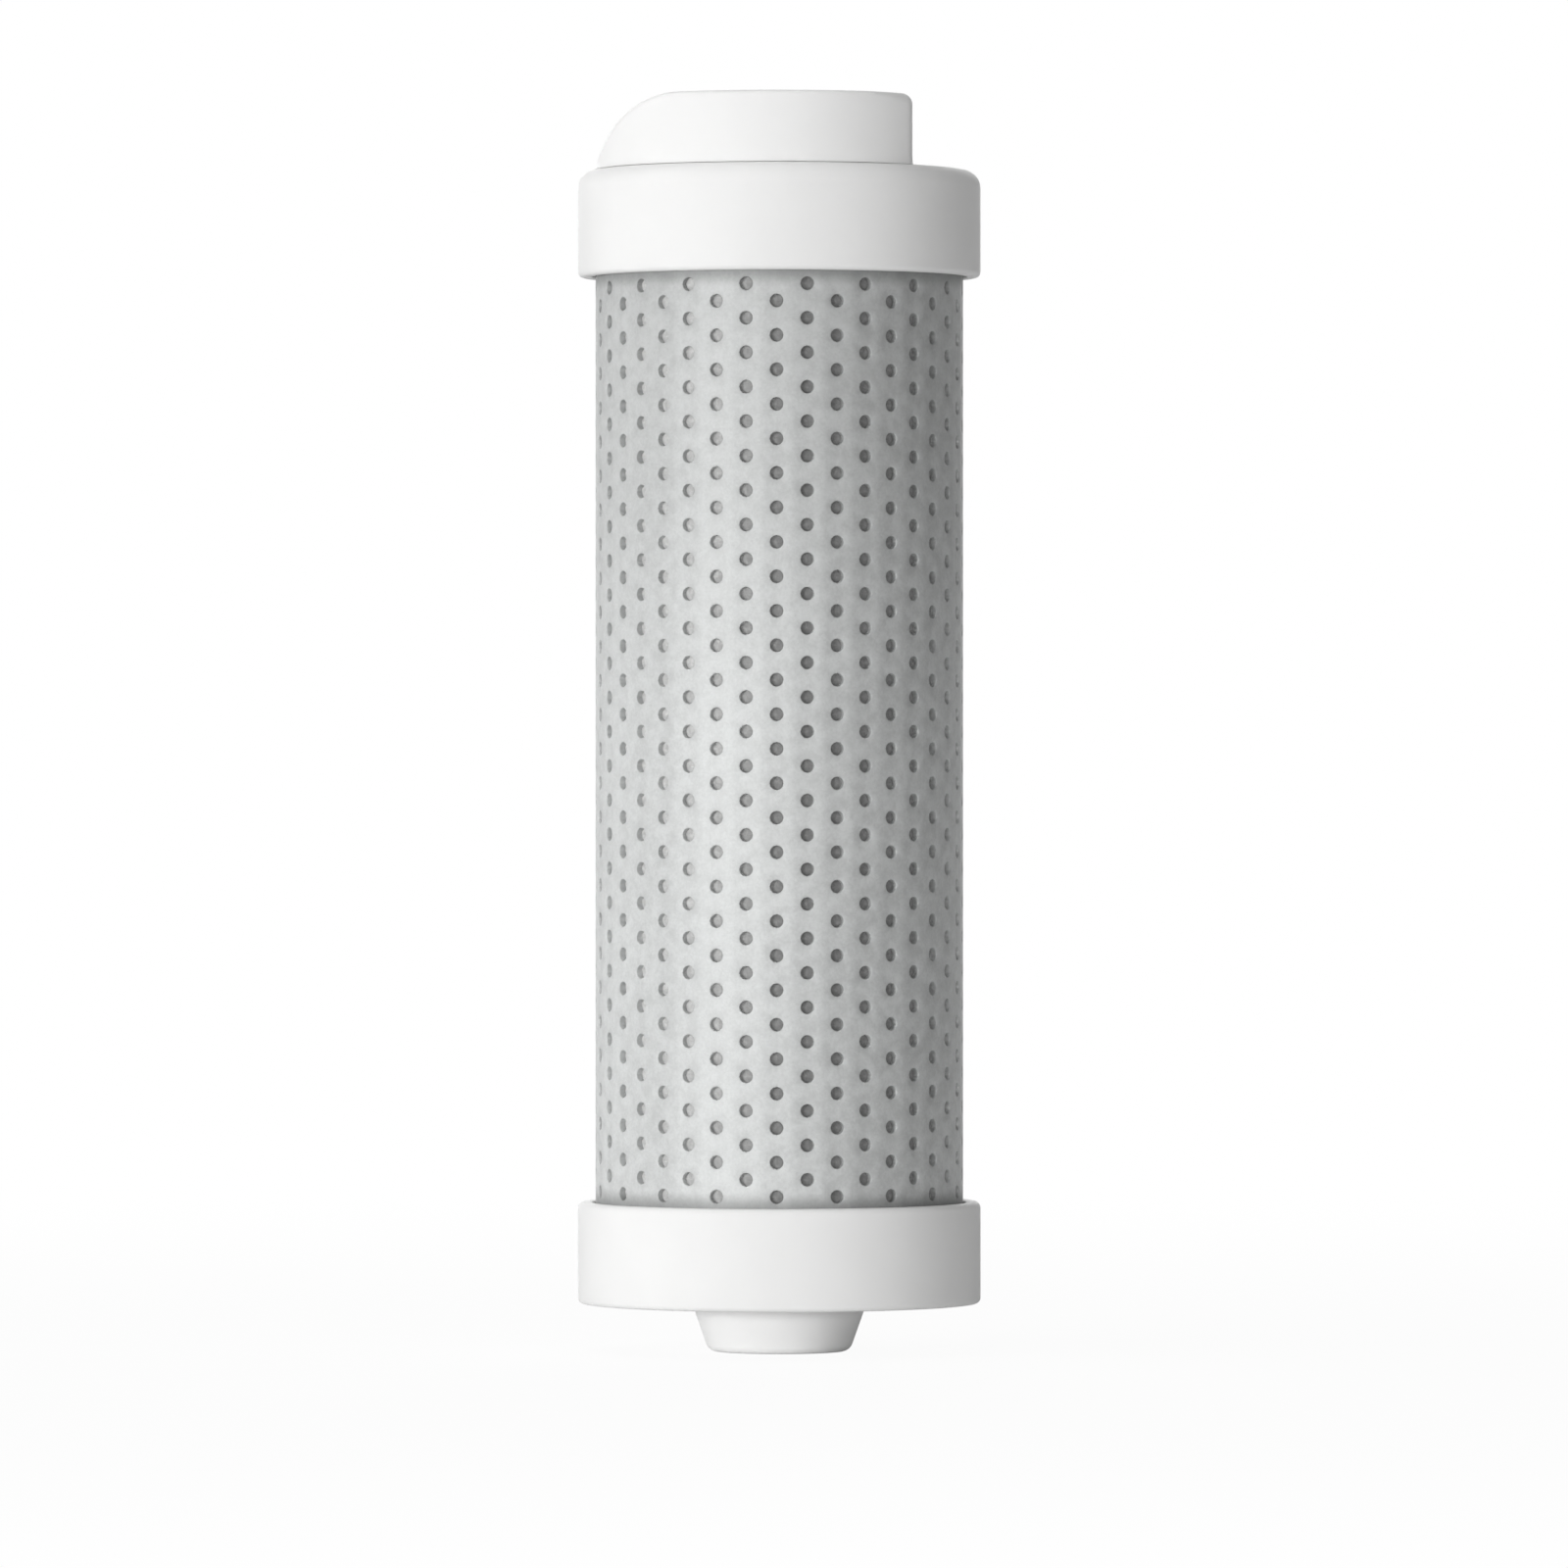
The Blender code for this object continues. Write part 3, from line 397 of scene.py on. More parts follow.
@dataclass(frozen=True)
class MottledSheet(Finish):
    """Dull metal sheet with flecks and a fine grain, and painted shade on hole walls, rims and upper half.
    """

    metal: float = 0.64
    specular: float = 0.10
    fleck: float = 0.0016
    grain: float = 0.00032
    drift: float = 0.012
    depth: float = 0.00006
    # Painted shade on the holes' walls: their colour darkens to the next tone from the outer face to this
    # depth.
    cut: float = 0.00025
    hole_wall_shade: float = 0.90
    # Painted shade along the caps' rims: the sheet darkens to the next tone within this distance of each
    # rim.
    rim_shade: float = 0.0020
    rim_shade_tone: float = 0.60
    # Painted shade over the upper half: the sheet darkens from this height up to the top rim, to the next
    # tone.
    top_shade_low: float = 0.060
    top_shade_tone: float = 0.87

    def clear(self, height: Signal, rim: float) -> Signal:
        """How free a height is of the painted shade at a cap's rim: 0 at the rim and 1 on both sides."""
        return 1.0 - height.ramp(rim - self.rim_shade, rim) + height.ramp(rim, rim + self.rim_shade)

    def dress(self, graph: Graph) -> None:
        """Adds flecks, grain, painted shade on hole walls, cap rims and upper half, and varying gloss.

        Args:
            graph: The material's graph.
        """
        point = graph.place()
        fleck = graph.noise(point, self.fleck, 3.0, 0.62)
        grain = graph.noise(point, self.grain, 2.0, 0.6)
        drift = graph.noise(point, self.drift, 2.0)
        tone = (0.58 * fleck + 0.34 * grain + 0.16 * drift).ramp(0.34, 0.74)
        # 1 on the sheet's outer face and 0 on the holes' walls, which get painted shade.
        skin = graph.distance((1.0, 1.0, 0.0)).ramp(LAYOUT.sleeve_radius - self.cut, LAYOUT.sleeve_radius)
        height = graph.along((0.0, 0.0, 1.0))
        # Share that is clear of the painted shade along both rims.
        unshaded = self.clear(height, LAYOUT.bottom_rim) * self.clear(height, LAYOUT.top_rim)
        # Painted shade on the holes' walls.
        shade = self.hole_wall_shade + (1.0 - self.hole_wall_shade) * skin
        # Painted shade along the caps' rims.
        shade = shade * (self.rim_shade_tone + (1.0 - self.rim_shade_tone) * unshaded)
        # Painted shade darkening the sheet from the middle up to the top rim.
        shade = shade * (1.0 - (1.0 - self.top_shade_tone) * height.ramp(self.top_shade_low, LAYOUT.top_rim))
        deepest = self.dark[1] / self.light[1]
        inputs = {
            "Base Color": ((deepest + (1.0 - deepest) * tone) * shade).blend((0.0, 0.0, 0.0), self.light),
            "Roughness": self.roughness + 0.22 * (fleck - 0.5) + 0.10 * (grain - 0.5),
            "Metallic": self.metal,
            "Specular IOR Level": self.specular,
            "Normal": graph.relief(fleck * 0.5 + grain * 0.5, self.depth, 0.35),
        }
        graph.feed(graph.shader, inputs)


@dataclass(frozen=True)
class PressedFelt(Finish):
    """Pressed felt: matted fibres with darker hollows, and painted light and shade, pale at -X, dark at +X.
    """

    fibre: float = 0.0005
    clump: float = 0.004
    depth: float = 0.00025
    sheen: float = 0.25
    sheen_roughness: float = 0.6
    # Painted light and shade across the felt: pale where x is below the first of these, darkened to the
    # tone below where x is above the second.
    unshaded: float = -0.012
    fully_shaded: float = 0.003
    painted_shade_tone: float = 0.365

    def dress(self, graph: Graph) -> None:
        """Adds the matted fibres, the clumps that they form and the painted light and shade across the
        part.

        Args:
            graph: The material's graph.
        """
        along = graph.noise(graph.place((1.0, 1.0, 0.25)), self.fibre, 3.0, 0.7)
        across = graph.noise(graph.place((0.4, 0.4, 1.0)), self.fibre, 3.0, 0.7)
        clump = graph.noise(graph.place(), self.clump, 2.0)
        mat = (along * 0.4 + across * 0.4 + clump * 0.2).ramp(0.32, 0.68)
        # Painted light and shade: 0 on the pale -X side, 1 on the shaded +X side.
        painted_shading = graph.along((1.0, 0.0, 0.0)).ramp(self.unshaded, self.fully_shaded)
        shade = 1.0 - (1.0 - self.painted_shade_tone) * painted_shading
        deepest = self.dark[1] / self.light[1]
        inputs = {
            "Base Color": ((deepest + (1.0 - deepest) * mat) * shade).blend((0.0, 0.0, 0.0), self.light),
            "Roughness": self.roughness,
            "Normal": graph.relief(along * 0.5 + across * 0.5, self.depth, 0.7),
            "Sheen Weight": self.sheen,
            "Sheen Roughness": self.sheen_roughness,
        }
        graph.feed(graph.shader, inputs)


@dataclass(frozen=True)
class Elastomer(Finish):
    """Rubber or silicone: faint bloom on the colour and a soft, uneven gloss."""

    bloom: float = 0.005
    skin: float = 0.0002
    depth: float = 0.00003

    def dress(self, graph: Graph) -> None:
        """Adds the bloom and the fine skin.

        Args:
            graph: The material's graph.
        """
        point = graph.place()
        bloom = graph.noise(point, self.bloom, 3.0)
        skin = graph.noise(point, self.skin, 2.0)
        inputs = {
            "Base Color": bloom.ramp(0.3, 0.75).blend(self.dark, self.light),
            "Roughness": self.roughness + 0.15 * (bloom - 0.5),
            "Normal": graph.relief(skin, self.depth, 0.4),
        }
        graph.feed(graph.shader, inputs)


@dataclass(frozen=True)
class PressedCarbon(Finish):
    """Pressed carbon: dark grains with a few bright facets."""

    grain: float = 0.0006
    dust: float = 0.002
    depth: float = 0.0002

    def dress(self, graph: Graph) -> None:
        """Adds the grains and their facets.

        Args:
            graph: The material's graph.
        """
        point = graph.place()
        facet = graph.cells(point, self.grain)
        dust = graph.noise(point, self.dust, 3.0)
        inputs = {
            "Base Color": (facet * 0.6 + dust * 0.4).ramp(0.2, 0.8).blend(self.dark, self.light),
            "Roughness": self.roughness - 0.3 * facet.ramp(0.5, 0.9),
            "Normal": graph.relief(facet, self.depth, 0.8),
        }
        graph.feed(graph.shader, inputs)


@dataclass(frozen=True)
class PleatPaper(Finish):
    """Membrane paper: a matte web with fine fibres."""

    web: float = 0.0006
    shade: float = 0.008
    depth: float = 0.00008

    def dress(self, graph: Graph) -> None:
        """Adds the web and its fibres.

        Args:
            graph: The material's graph.
        """
        web = graph.noise(graph.place((1.0, 1.0, 0.4)), self.web, 4.0, 0.65)
        shade = graph.noise(graph.place(), self.shade, 2.0)
        inputs = {
            "Base Color": (web * 0.6 + shade * 0.4).ramp(0.3, 0.7).blend(self.dark, self.light),
            "Roughness": self.roughness,
            "Normal": graph.relief(web, self.depth, 0.5),
        }
        graph.feed(graph.shader, inputs)


@dataclass(frozen=True)
class DrawnSteel(Finish):
    """Drawn stainless steel: bright, with fine scratches."""

    mark: float = 0.00025
    film: float = 0.003
    depth: float = 0.00002

    def dress(self, graph: Graph) -> None:
        """Adds the drawing marks and a dull film.

        Args:
            graph: The material's graph.
        """
        mark = graph.noise(graph.place((1.0, 1.0, 0.2)), self.mark, 3.0, 0.7)
        film = graph.noise(graph.place(), self.film, 2.0)
        inputs = {
            "Base Color": film.ramp(0.3, 0.7).blend(self.dark, self.light),
            "Roughness": self.roughness + 0.2 * (mark - 0.5),
            "Metallic": 1.0,
            "Normal": graph.relief(mark, self.depth, 0.4),
        }
        graph.feed(graph.shader, inputs)


WHITE_PLASTIC = MouldedPlastic("moulded_white", (0.83, 0.83, 0.825), (0.87, 0.87, 0.865), 0.58)
# A lighter copy of the white plastic for the nozzle: painted light that offsets the shade under the bottom
# cap.
LIT_SPOUT_PLASTIC = MouldedPlastic("moulded_white_lit", (0.945, 0.945, 0.94), (0.965, 0.965, 0.96), 0.55)
NATURAL_PLASTIC = MouldedPlastic("moulded_natural", (0.68, 0.69, 0.67), (0.76, 0.77, 0.75), 0.45)
# Its finish paints shade on the holes' walls, along the caps' rims and over the upper half.
GREY_SHEET = MottledSheet("mottled_sheet", (0.570, 0.580, 0.577), (0.710, 0.722, 0.718), 0.65)
# Its colours are the felt's pale side; its finish paints light and shade across it.
GREY_FELT = PressedFelt("pressed_felt", (0.506, 0.506, 0.501), (0.736, 0.736, 0.730), 0.95)
BLACK_RUBBER = Elastomer("black_rubber", (0.016, 0.016, 0.017), (0.032, 0.032, 0.033), 0.65)
BLUE_SILICONE = Elastomer("blue_silicone", (0.08, 0.20, 0.42), (0.12, 0.27, 0.52), 0.50)
CARBON = PressedCarbon("pressed_carbon", (0.010, 0.010, 0.011), (0.050, 0.050, 0.052), 0.90)
MEMBRANE_PAPER = PleatPaper("membrane_paper", (0.74, 0.73, 0.69), (0.86, 0.85, 0.81), 0.88)
STEEL = DrawnSteel("drawn_steel", (0.52, 0.52, 0.53), (0.64, 0.64, 0.65), 0.30)


@dataclass(frozen=True)
class Surface:
    """Points and four-cornered faces of a surface, before it becomes a mesh."""

    points: Array
    quads: Array

    @classmethod
    def grid(cls, points: Array, wrap_rows: bool = False) -> Surface:
        """A surface through a grid of points, whose last column joins its first.

        Face (i, j) joins the points (i, j), (i, j + 1), (i + 1, j + 1) and (i + 1, j).

        Args:
            points: Grid of points, rows by columns by 3.
            wrap_rows: Whether the last row joins the first.

        Returns:
            The surface.
        """
        rows, columns = points.shape[:2]
        row = np.arange(rows if wrap_rows else rows - 1)[:, None]
        column = np.arange(columns)[None, :]
        near = row * columns
        far = (row + 1) % rows * columns
        right = (column + 1) % columns
        quads = np.stack([near + column, near + right, far + right, far + column], axis=-1)
        return cls(points.reshape(-1, 3), quads.reshape(-1, 4))

    @classmethod
    def polar(cls, radius: Array, angle: Array, height: Array, wrap_rows: bool) -> Surface:
        """A surface given in polar form, closed round +Z.

        S(i, j) = (r cos t, r sin t, z) with r, t and z taken at (i, j).

        Args:
            radius: Radius at each grid point.
            angle: Angle at each grid point.
            height: Height at each grid point.
            wrap_rows: Whether the last row joins the first.

        Returns:
            The surface.
        """
        radius, angle, height = np.broadcast_arrays(radius, angle, height)
        points = np.stack([radius * np.cos(angle), radius * np.sin(angle), height], axis=-1)
        return cls.grid(points, wrap_rows)

    def show(self, name: str, body: Body, finish: Finish, slot: Slot, *nodes: str) -> bpy.types.Object:
        """Makes the surface a dressed object that rides on a body.

        Args:
            name: Name of the object.
            body: Body that it moves with.
            finish: Its finish.
            slot: Slot of the record that the finish is for; it is not used.
            nodes: CAD nodes that it stands for.

        Returns:
            The object.
        """
        mesh = bpy.data.meshes.new(name)
        mesh.from_pydata(self.points.tolist(), [], self.quads.tolist())
        shell = bmesh.new()
        shell.from_mesh(mesh)
        bmesh.ops.remove_doubles(shell, verts=shell.verts, dist=MERGE_DISTANCE)
        bmesh.ops.recalc_face_normals(shell, faces=shell.faces)
        shell.to_mesh(mesh)
        shell.free()
        mesh.polygons.foreach_set("use_smooth", np.ones(len(mesh.polygons), dtype=bool))
        mesh.set_sharp_from_angle(angle=SHARP_ANGLE)
        mesh.materials.append(finish.material())
        piece = bpy.data.objects.new(name, mesh)
        bpy.context.scene.collection.objects.link(piece)
        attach(piece, body.value)
        if nodes:
            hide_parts(*nodes)
        LOG.info("%s: %d faces on %s for %s", name, len(mesh.polygons), body.value, ", ".join(nodes))
        return piece


def rounded(corners: list[Corner], steps: int = 6) -> Array:
    """Rounds the corners of a closed outline.

    With unit vectors a and b from a corner p to its neighbours, half their angle h and the radius r, the
    corner becomes the arc about p + r / sin(h) (a + b) / |a + b| from p + a r / tan(h) to p + b r / tan(h).

    Args:
        corners: Radius, height and rounding of each corner.
        steps: Straight steps in each arc.

    Returns:
        Points of the outline, one row of radius and height each.
    """
    table = np.array(corners, dtype=float)
    corner, rounding = table[:, :2], table[:, 2:]
    before = np.roll(corner, 1, axis=0) - corner
    after = np.roll(corner, -1, axis=0) - corner
    before /= np.linalg.norm(before, axis=1, keepdims=True)
    after /= np.linalg.norm(after, axis=1, keepdims=True)
    half = np.arccos(np.clip(np.sum(before * after, axis=1, keepdims=True), -1.0, 1.0)) / 2.0
    middle = before + after
    middle /= np.maximum(np.linalg.norm(middle, axis=1, keepdims=True), TINY_LENGTH)
    centre = corner + middle * rounding / np.sin(half)
    start = corner + before * rounding / np.tan(half) - centre
    end = corner + after * rounding / np.tan(half) - centre
    sweep = np.maximum(math.pi - 2.0 * half, TINY_ANGLE)[:, None]
    share = np.linspace(0.0, 1.0, steps + 1)[None, :, None]
    arc = np.sin((1.0 - share) * sweep) * start[:, None] + np.sin(share * sweep) * end[:, None]
    points = centre[:, None] + arc / np.sin(sweep)
    kept = np.ones(points.shape[:2], dtype=bool)
    kept[rounding[:, 0] == 0.0, 1:] = False
    return points[kept]


def turned(profile: Array, count: int, closed: bool = True) -> Surface:
    """Turns a profile of radii and heights round +Z.

    S(i, j) = (r_i cos t_j, r_i sin t_j, z_i) with t_j = 2 pi j / count.

    Args:
        profile: Rows of radius and height.
        count: Number of steps round the axis.
        closed: Whether the profile is a ring; otherwise both its ends lie on the axis.

    Returns:
        The surface.
    """
    angle = np.arange(count)[None, :] * (TURN / count)
    return Surface.polar(profile[:, :1], angle, profile[:, 1:], closed)


def ring_section(radius: float, height: float, thickness: float, count: int = 20) -> Array:
    """A round section for an O-ring.

    P(u) = (radius + thickness / 2 cos u, height + thickness / 2 sin u).

    Args:
        radius: Radius of the ring's middle line.
        height: Height of the ring's middle.
        thickness: Diameter of the section.
        count: Points round the section.

    Returns:
        Rows of radius and height.
    """
    angle = np.arange(count) * (TURN / count)
    half = thickness / 2
    return np.stack([radius + half * np.cos(angle), height + half * np.sin(angle)], axis=1)


def tube_section(inner: float, outer: float, low: float, high: float, edge: float) -> Array:
    """A rectangular section with rounded corners.

    Args:
        inner: Inner radius.
        outer: Outer radius.
        low: Lower height.
        high: Upper height.
        edge: Rounding of the corners.

    Returns:
        Rows of radius and height.
    """
    return rounded([(inner, high, edge), (outer, high, edge), (outer, low, edge), (inner, low, edge)])


def subdivided(profile: Array, longest: float) -> Array:
    """Adds points to a profile so that no straight run is longer than a limit.

    Args:
        profile: Rows of radius and height.
        longest: Longest run that stays whole.

    Returns:
        The finer profile.
    """
    length = np.linalg.norm(np.diff(profile, axis=0), axis=1)
    parts = np.maximum(np.ceil(length / longest).astype(int), 1)
    run = np.repeat(np.arange(len(parts)), parts)
    share = (np.arange(len(run)) - np.repeat(np.cumsum(parts) - parts, parts)) / parts[run]
    points = profile[run] + share[:, None] * (profile[run + 1] - profile[run])
    return np.concatenate([points, profile[-1:]])


@dataclass(frozen=True)
class Thread:
    """The three-start thread between the top cap and the collar."""

    starts: int = 3
    lead: float = 0.0096
    depth: float = 0.0009
    rib: float = 0.0012
    flank: float = 0.0002
    span: float = math.radians(100.0)
    taper: float = math.radians(5.0)

    def ribs(self, angle: Array, height: Array, first: float) -> Array:
        """Share of the full depth at each point.

        Start k begins at t_k = 2 pi k / starts, where p = (t - t_k) mod 2 pi runs from 0 to span, and its
        middle is z_k = first + lead p / 2 pi. The share is clip((rib / 2 - |z - z_k|) / flank, 0, 1), and
        falls to 0 over the taper at both ends.

        Args:
            angle: Angles of the points.
            height: Heights of the points.
            first: Height of the middle of a rib where it begins.

        Returns:
            The share, 0 to 1.
        """
        begin = (np.arange(self.starts) * (TURN / self.starts))[:, None, None]
        past = (angle - begin) % TURN
        middle = first + self.lead * past / TURN
        share = np.clip((self.rib / 2 - np.abs(height - middle)) / self.flank, 0.0, 1.0)
        ends = np.clip(past / self.taper, 0.0, 1.0) * np.clip((self.span - past) / self.taper, 0.0, 1.0)
        return np.max(share * ends, axis=0)


@dataclass(frozen=True)
class TopCap:
    """Screw cap with a threaded plug, its gasket, and the collar that it screws into."""

    edge: float = 0.0020
    rim: float = 0.0006
    inner_edge: float = 0.0003
    male_first: float = 0.1244
    female_first: float = 0.1260
    gasket_low: float = 0.1308
    gasket_high: float = 0.1324
    gasket_count: int = 144
    longest_run: float = 0.0040
    plug_rows: int = 80
    collar_rows: int = 76
    count: int = 240
    thread: Thread = Thread()

    def build(self) -> None:
        """Builds the cap, the gasket and the collar."""
        self.cap()
        self.gasket()
        self.collar()

    def cap(self) -> bpy.types.Object:
        """The cap: a turned profile whose plug carries the ribs.

        r = r_i + depth * ribs(t, z) on the plug's outer wall and r_i elsewhere.

        Returns:
            The cap.
        """
        here = LAYOUT
        outline = rounded(
            [
                (0.0, here.roof, 0.0),
                (here.cap_radius, here.roof, self.edge),
                (here.cap_radius, here.top_rim, self.rim),
                (here.skirt_bore, here.top_rim, self.inner_edge),
                (here.skirt_bore, here.roof_under, self.inner_edge),
                (here.plug_radius, here.roof_under, 0.0),
                (here.plug_radius, here.plug_bottom, 0.0),
                (here.plug_bore, here.plug_bottom, self.inner_edge),
                (here.plug_bore, here.roof_under, self.inner_edge),
                (0.0, here.roof_under, 0.0),
            ]
        )
        profile = subdivided(outline, self.longest_run)
        wall = np.linspace(here.roof_under, here.plug_bottom, self.plug_rows)
        plug = np.stack([np.full_like(wall, here.plug_radius), wall], axis=1)
        first = np.flatnonzero(np.all(np.isclose(profile, plug[0]), axis=1))[0]
        last = np.flatnonzero(np.all(np.isclose(profile, plug[-1]), axis=1))[0]
        profile = np.concatenate([profile[:first], plug, profile[last + 1 :]])
        angle = np.arange(self.count)[None, :] * (TURN / self.count)
        on_plug = np.isclose(profile[:, :1], here.plug_radius)
        ribs = self.thread.ribs(angle, profile[:, 1:], self.male_first)
        radius = profile[:, :1] + np.where(on_plug, self.thread.depth * ribs, 0.0)
        surface = Surface.polar(radius, angle, profile[:, 1:], False)
        return surface.show("top_cap_shell", Body.TOP_CAP, WHITE_PLASTIC, Slot.WHITE_PLASTIC, "top_end_cap")

    def gasket(self) -> bpy.types.Object:
        """The flat gasket under the cap's roof.

        Returns:
            The gasket.
        """
        section = tube_section(
            LAYOUT.collar_bore, LAYOUT.sleeve_radius, self.gasket_low, self.gasket_high, self.inner_edge
        )
        surface = turned(section, self.gasket_count)
        return surface.show("cap_gasket_ring", Body.CAP_SEAL, BLACK_RUBBER, Slot.RUBBER, "cap_gasket")

    def collar(self) -> bpy.types.Object:
        """The collar: a turned tube whose bore carries the ribs.

        r = r_i - depth * ribs(t, z) on the bore and r_i elsewhere.

        Returns:
            The collar.
        """
        wall = np.linspace(LAYOUT.sleeve_top, LAYOUT.collar_bottom, self.collar_rows)
        bore = np.stack([np.full_like(wall, LAYOUT.collar_bore), wall], axis=1)
        back = np.array([[LAYOUT.inner_fit, LAYOUT.collar_bottom], [LAYOUT.inner_fit, LAYOUT.sleeve_top]])
        profile = np.concatenate([bore, back])
        angle = np.arange(self.count)[None, :] * (TURN / self.count)
        on_bore = np.isclose(profile[:, :1], LAYOUT.collar_bore)
        ribs = self.thread.ribs(angle, profile[:, 1:], self.female_first)
        radius = profile[:, :1] - np.where(on_bore, self.thread.depth * ribs, 0.0)
        surface = Surface.polar(radius, angle, profile[:, 1:], True)
        return surface.show(
            "collar_ring", Body.CARTRIDGE, NATURAL_PLASTIC, Slot.NATURAL_PLASTIC, "threaded_collar"
        )


@dataclass(frozen=True)
class KeyedHub:
    """Round boss on the cap, cut by a flat on one side and by a ramp on the other."""

    radius: float = 0.0208
    flat: float = 0.01505
    corner: float = 0.0016
    foot: float = -0.02165
    ramp: float = math.radians(58.6)
    shoulder: float = 0.0095
    rim: float = 0.00050
    flat_rim: float = 0.00130
    blend: float = math.radians(14.0)
    flare: float = 0.00045
    flat_flare: float = 0.00012
    flare_height: float = 0.0012
    seam: float = 0.00003
    wall: float = 0.0024
    centre: float = -0.0015
    round_steps: int = 220
    corner_steps: int = 10
    flat_steps: int = 30
    arc_steps: int = 7
    cavity_rings: int = 24
    wall_rings: int = 9
    top_rings: int = 60

    def build(self) -> None:
        """Builds the hub."""
        self.shell()

    def plan(self) -> tuple[Array, Array, Array]:
        """The hub's outline seen from above.

        A circle of the hub's radius and the line x = flat are joined by arcs of the corner's radius c
        about (flat - c, +-y), with y from (radius - c)^2 = (flat - c)^2 + y^2. The flat's rounding fades
        out on the circle, over the angle named blend from each arc.

        Returns:
            Points, outward unit normals, and the share of the flat's rounding at each point.
        """

        def turn(angles: Array) -> Array:
            """Unit vectors at some angles."""
            return np.stack([np.cos(angles), np.sin(angles)], axis=1)

        inset = self.flat - self.corner
        reach = math.sqrt((self.radius - self.corner) ** 2 - inset**2)
        lean = math.atan2(reach, inset)
        round_angle = np.linspace(lean, TURN - lean, self.round_steps)
        low_angle = np.linspace(-lean, 0.0, self.corner_steps)[1:]
        flat_height = np.linspace(-reach, reach, self.flat_steps)[1:]
        high_angle = np.linspace(0.0, lean, self.corner_steps)[1:-1]
        angle = np.concatenate([round_angle, low_angle, np.zeros_like(flat_height), high_angle])
        normal = turn(angle)
        point = np.concatenate(
            [
                self.radius * turn(round_angle),
                np.array([inset, -reach]) + self.corner * turn(low_angle),
                np.stack([np.full_like(flat_height, self.flat), flat_height], axis=1),
                np.array([inset, reach]) + self.corner * turn(high_angle),
            ]
        )
        beyond = np.minimum(round_angle, TURN - round_angle) - lean
        share = np.ones_like(angle)
        share[: len(beyond)] = np.clip(1.0 - beyond / self.blend, 0.0, 1.0)
        return point, normal, share

    def height(self, x: Array) -> Array:
        """Height of the hub's upper side.

        The ramp z = roof + (x - foot) tan a meets the top z = top in an arc of the shoulder's radius s
        about (x_m + s tan(a / 2), top - s), where x_m is where the ramp would reach the top.

        Args:
            x: Places across the hub.

        Returns:
            The heights.
        """
        slope = math.tan(self.ramp)
        meet = self.foot + (LAYOUT.hub_top - LAYOUT.roof) / slope
        middle = meet + self.shoulder * math.tan(self.ramp / 2)
        start = middle - self.shoulder * math.sin(self.ramp)
        ramp = LAYOUT.roof + (x - self.foot) * slope
        drop = np.sqrt(np.maximum(self.shoulder**2 - (x - middle) ** 2, 0.0))
        arc = LAYOUT.hub_top - self.shoulder + drop
        return np.where(x >= middle, LAYOUT.hub_top, np.where(x >= start, arc, ramp))

    def shell(self) -> bpy.types.Object:
        """The hub's surface as rings of its outline P moved along its outward normals N.

        Cavity rings are scaled copies of P under the height H(x) - wall. Foot rings are
        P + f (1 - sin a) N at the height low + g (1 - cos a), wall rings are P between the foot and the
        rim, and rim rings are P - r (1 - cos a) N at the height H(x) - r (1 - sin a), with a from 0 to 90
        degrees. Top rings shrink towards the middle at the height H(x). H is the upper side's height,
        f and g are the reach and height of the foot's flare, and r is the rim's radius. f and r have
        their own values on the flat, and blend into it from the round side.

        Returns:
            The hub.
        """
        point, normal, share = self.plan()
        rim = self.rim + (self.flat_rim - self.rim) * share
        flare = self.flare + (self.flat_flare - self.flare) * share
        low = LAYOUT.roof + self.seam
        middle = np.array([self.centre, 0.0])
        quarter = np.linspace(0.0, math.pi / 2, self.arc_steps)[:, None]

        spread = np.append(np.linspace(0.0, 1.0, self.cavity_rings), 1.0)
        inner = (1.0 - self.wall / self.radius) * spread[:, None, None]
        cavity = middle + inner * (point - middle)
        ceiling = np.maximum(self.height(cavity[..., 0]) - self.wall, low)
        ceiling[-1] = low
        foot = point + (flare * (1.0 - np.sin(quarter)))[..., None] * normal
        wall_room = self.height(point[:, 0]) - rim - low
        flare_height = np.minimum(self.flare_height, wall_room)
        foot_height = low + flare_height * (1.0 - np.cos(quarter))
        rise = np.linspace(0.0, 1.0, self.wall_rings)[1:-1, None]
        wall_height = low + (1.0 - rise) * flare_height + rise * wall_room
        wall = np.broadcast_to(point, (*wall_height.shape, 2))
        edge = point - (rim * (1.0 - np.cos(quarter)))[..., None] * normal
        edge_height = self.height(edge[..., 0]) - rim * (1.0 - np.sin(quarter))
        shrink = np.linspace(1.0, 0.0, self.top_rings)[1:, None, None]
        top = middle + shrink * (edge[-1] - middle)

        plan = np.concatenate([cavity, foot, wall, edge, top])
        heights = [ceiling, foot_height, wall_height, edge_height, self.height(top[..., 0])]
        surface = Surface.grid(np.concatenate([plan, np.concatenate(heights)[..., None]], axis=-1))
        return surface.show("hub_shell", Body.TOP_CAP, WHITE_PLASTIC, Slot.WHITE_PLASTIC, "keyed_hub")


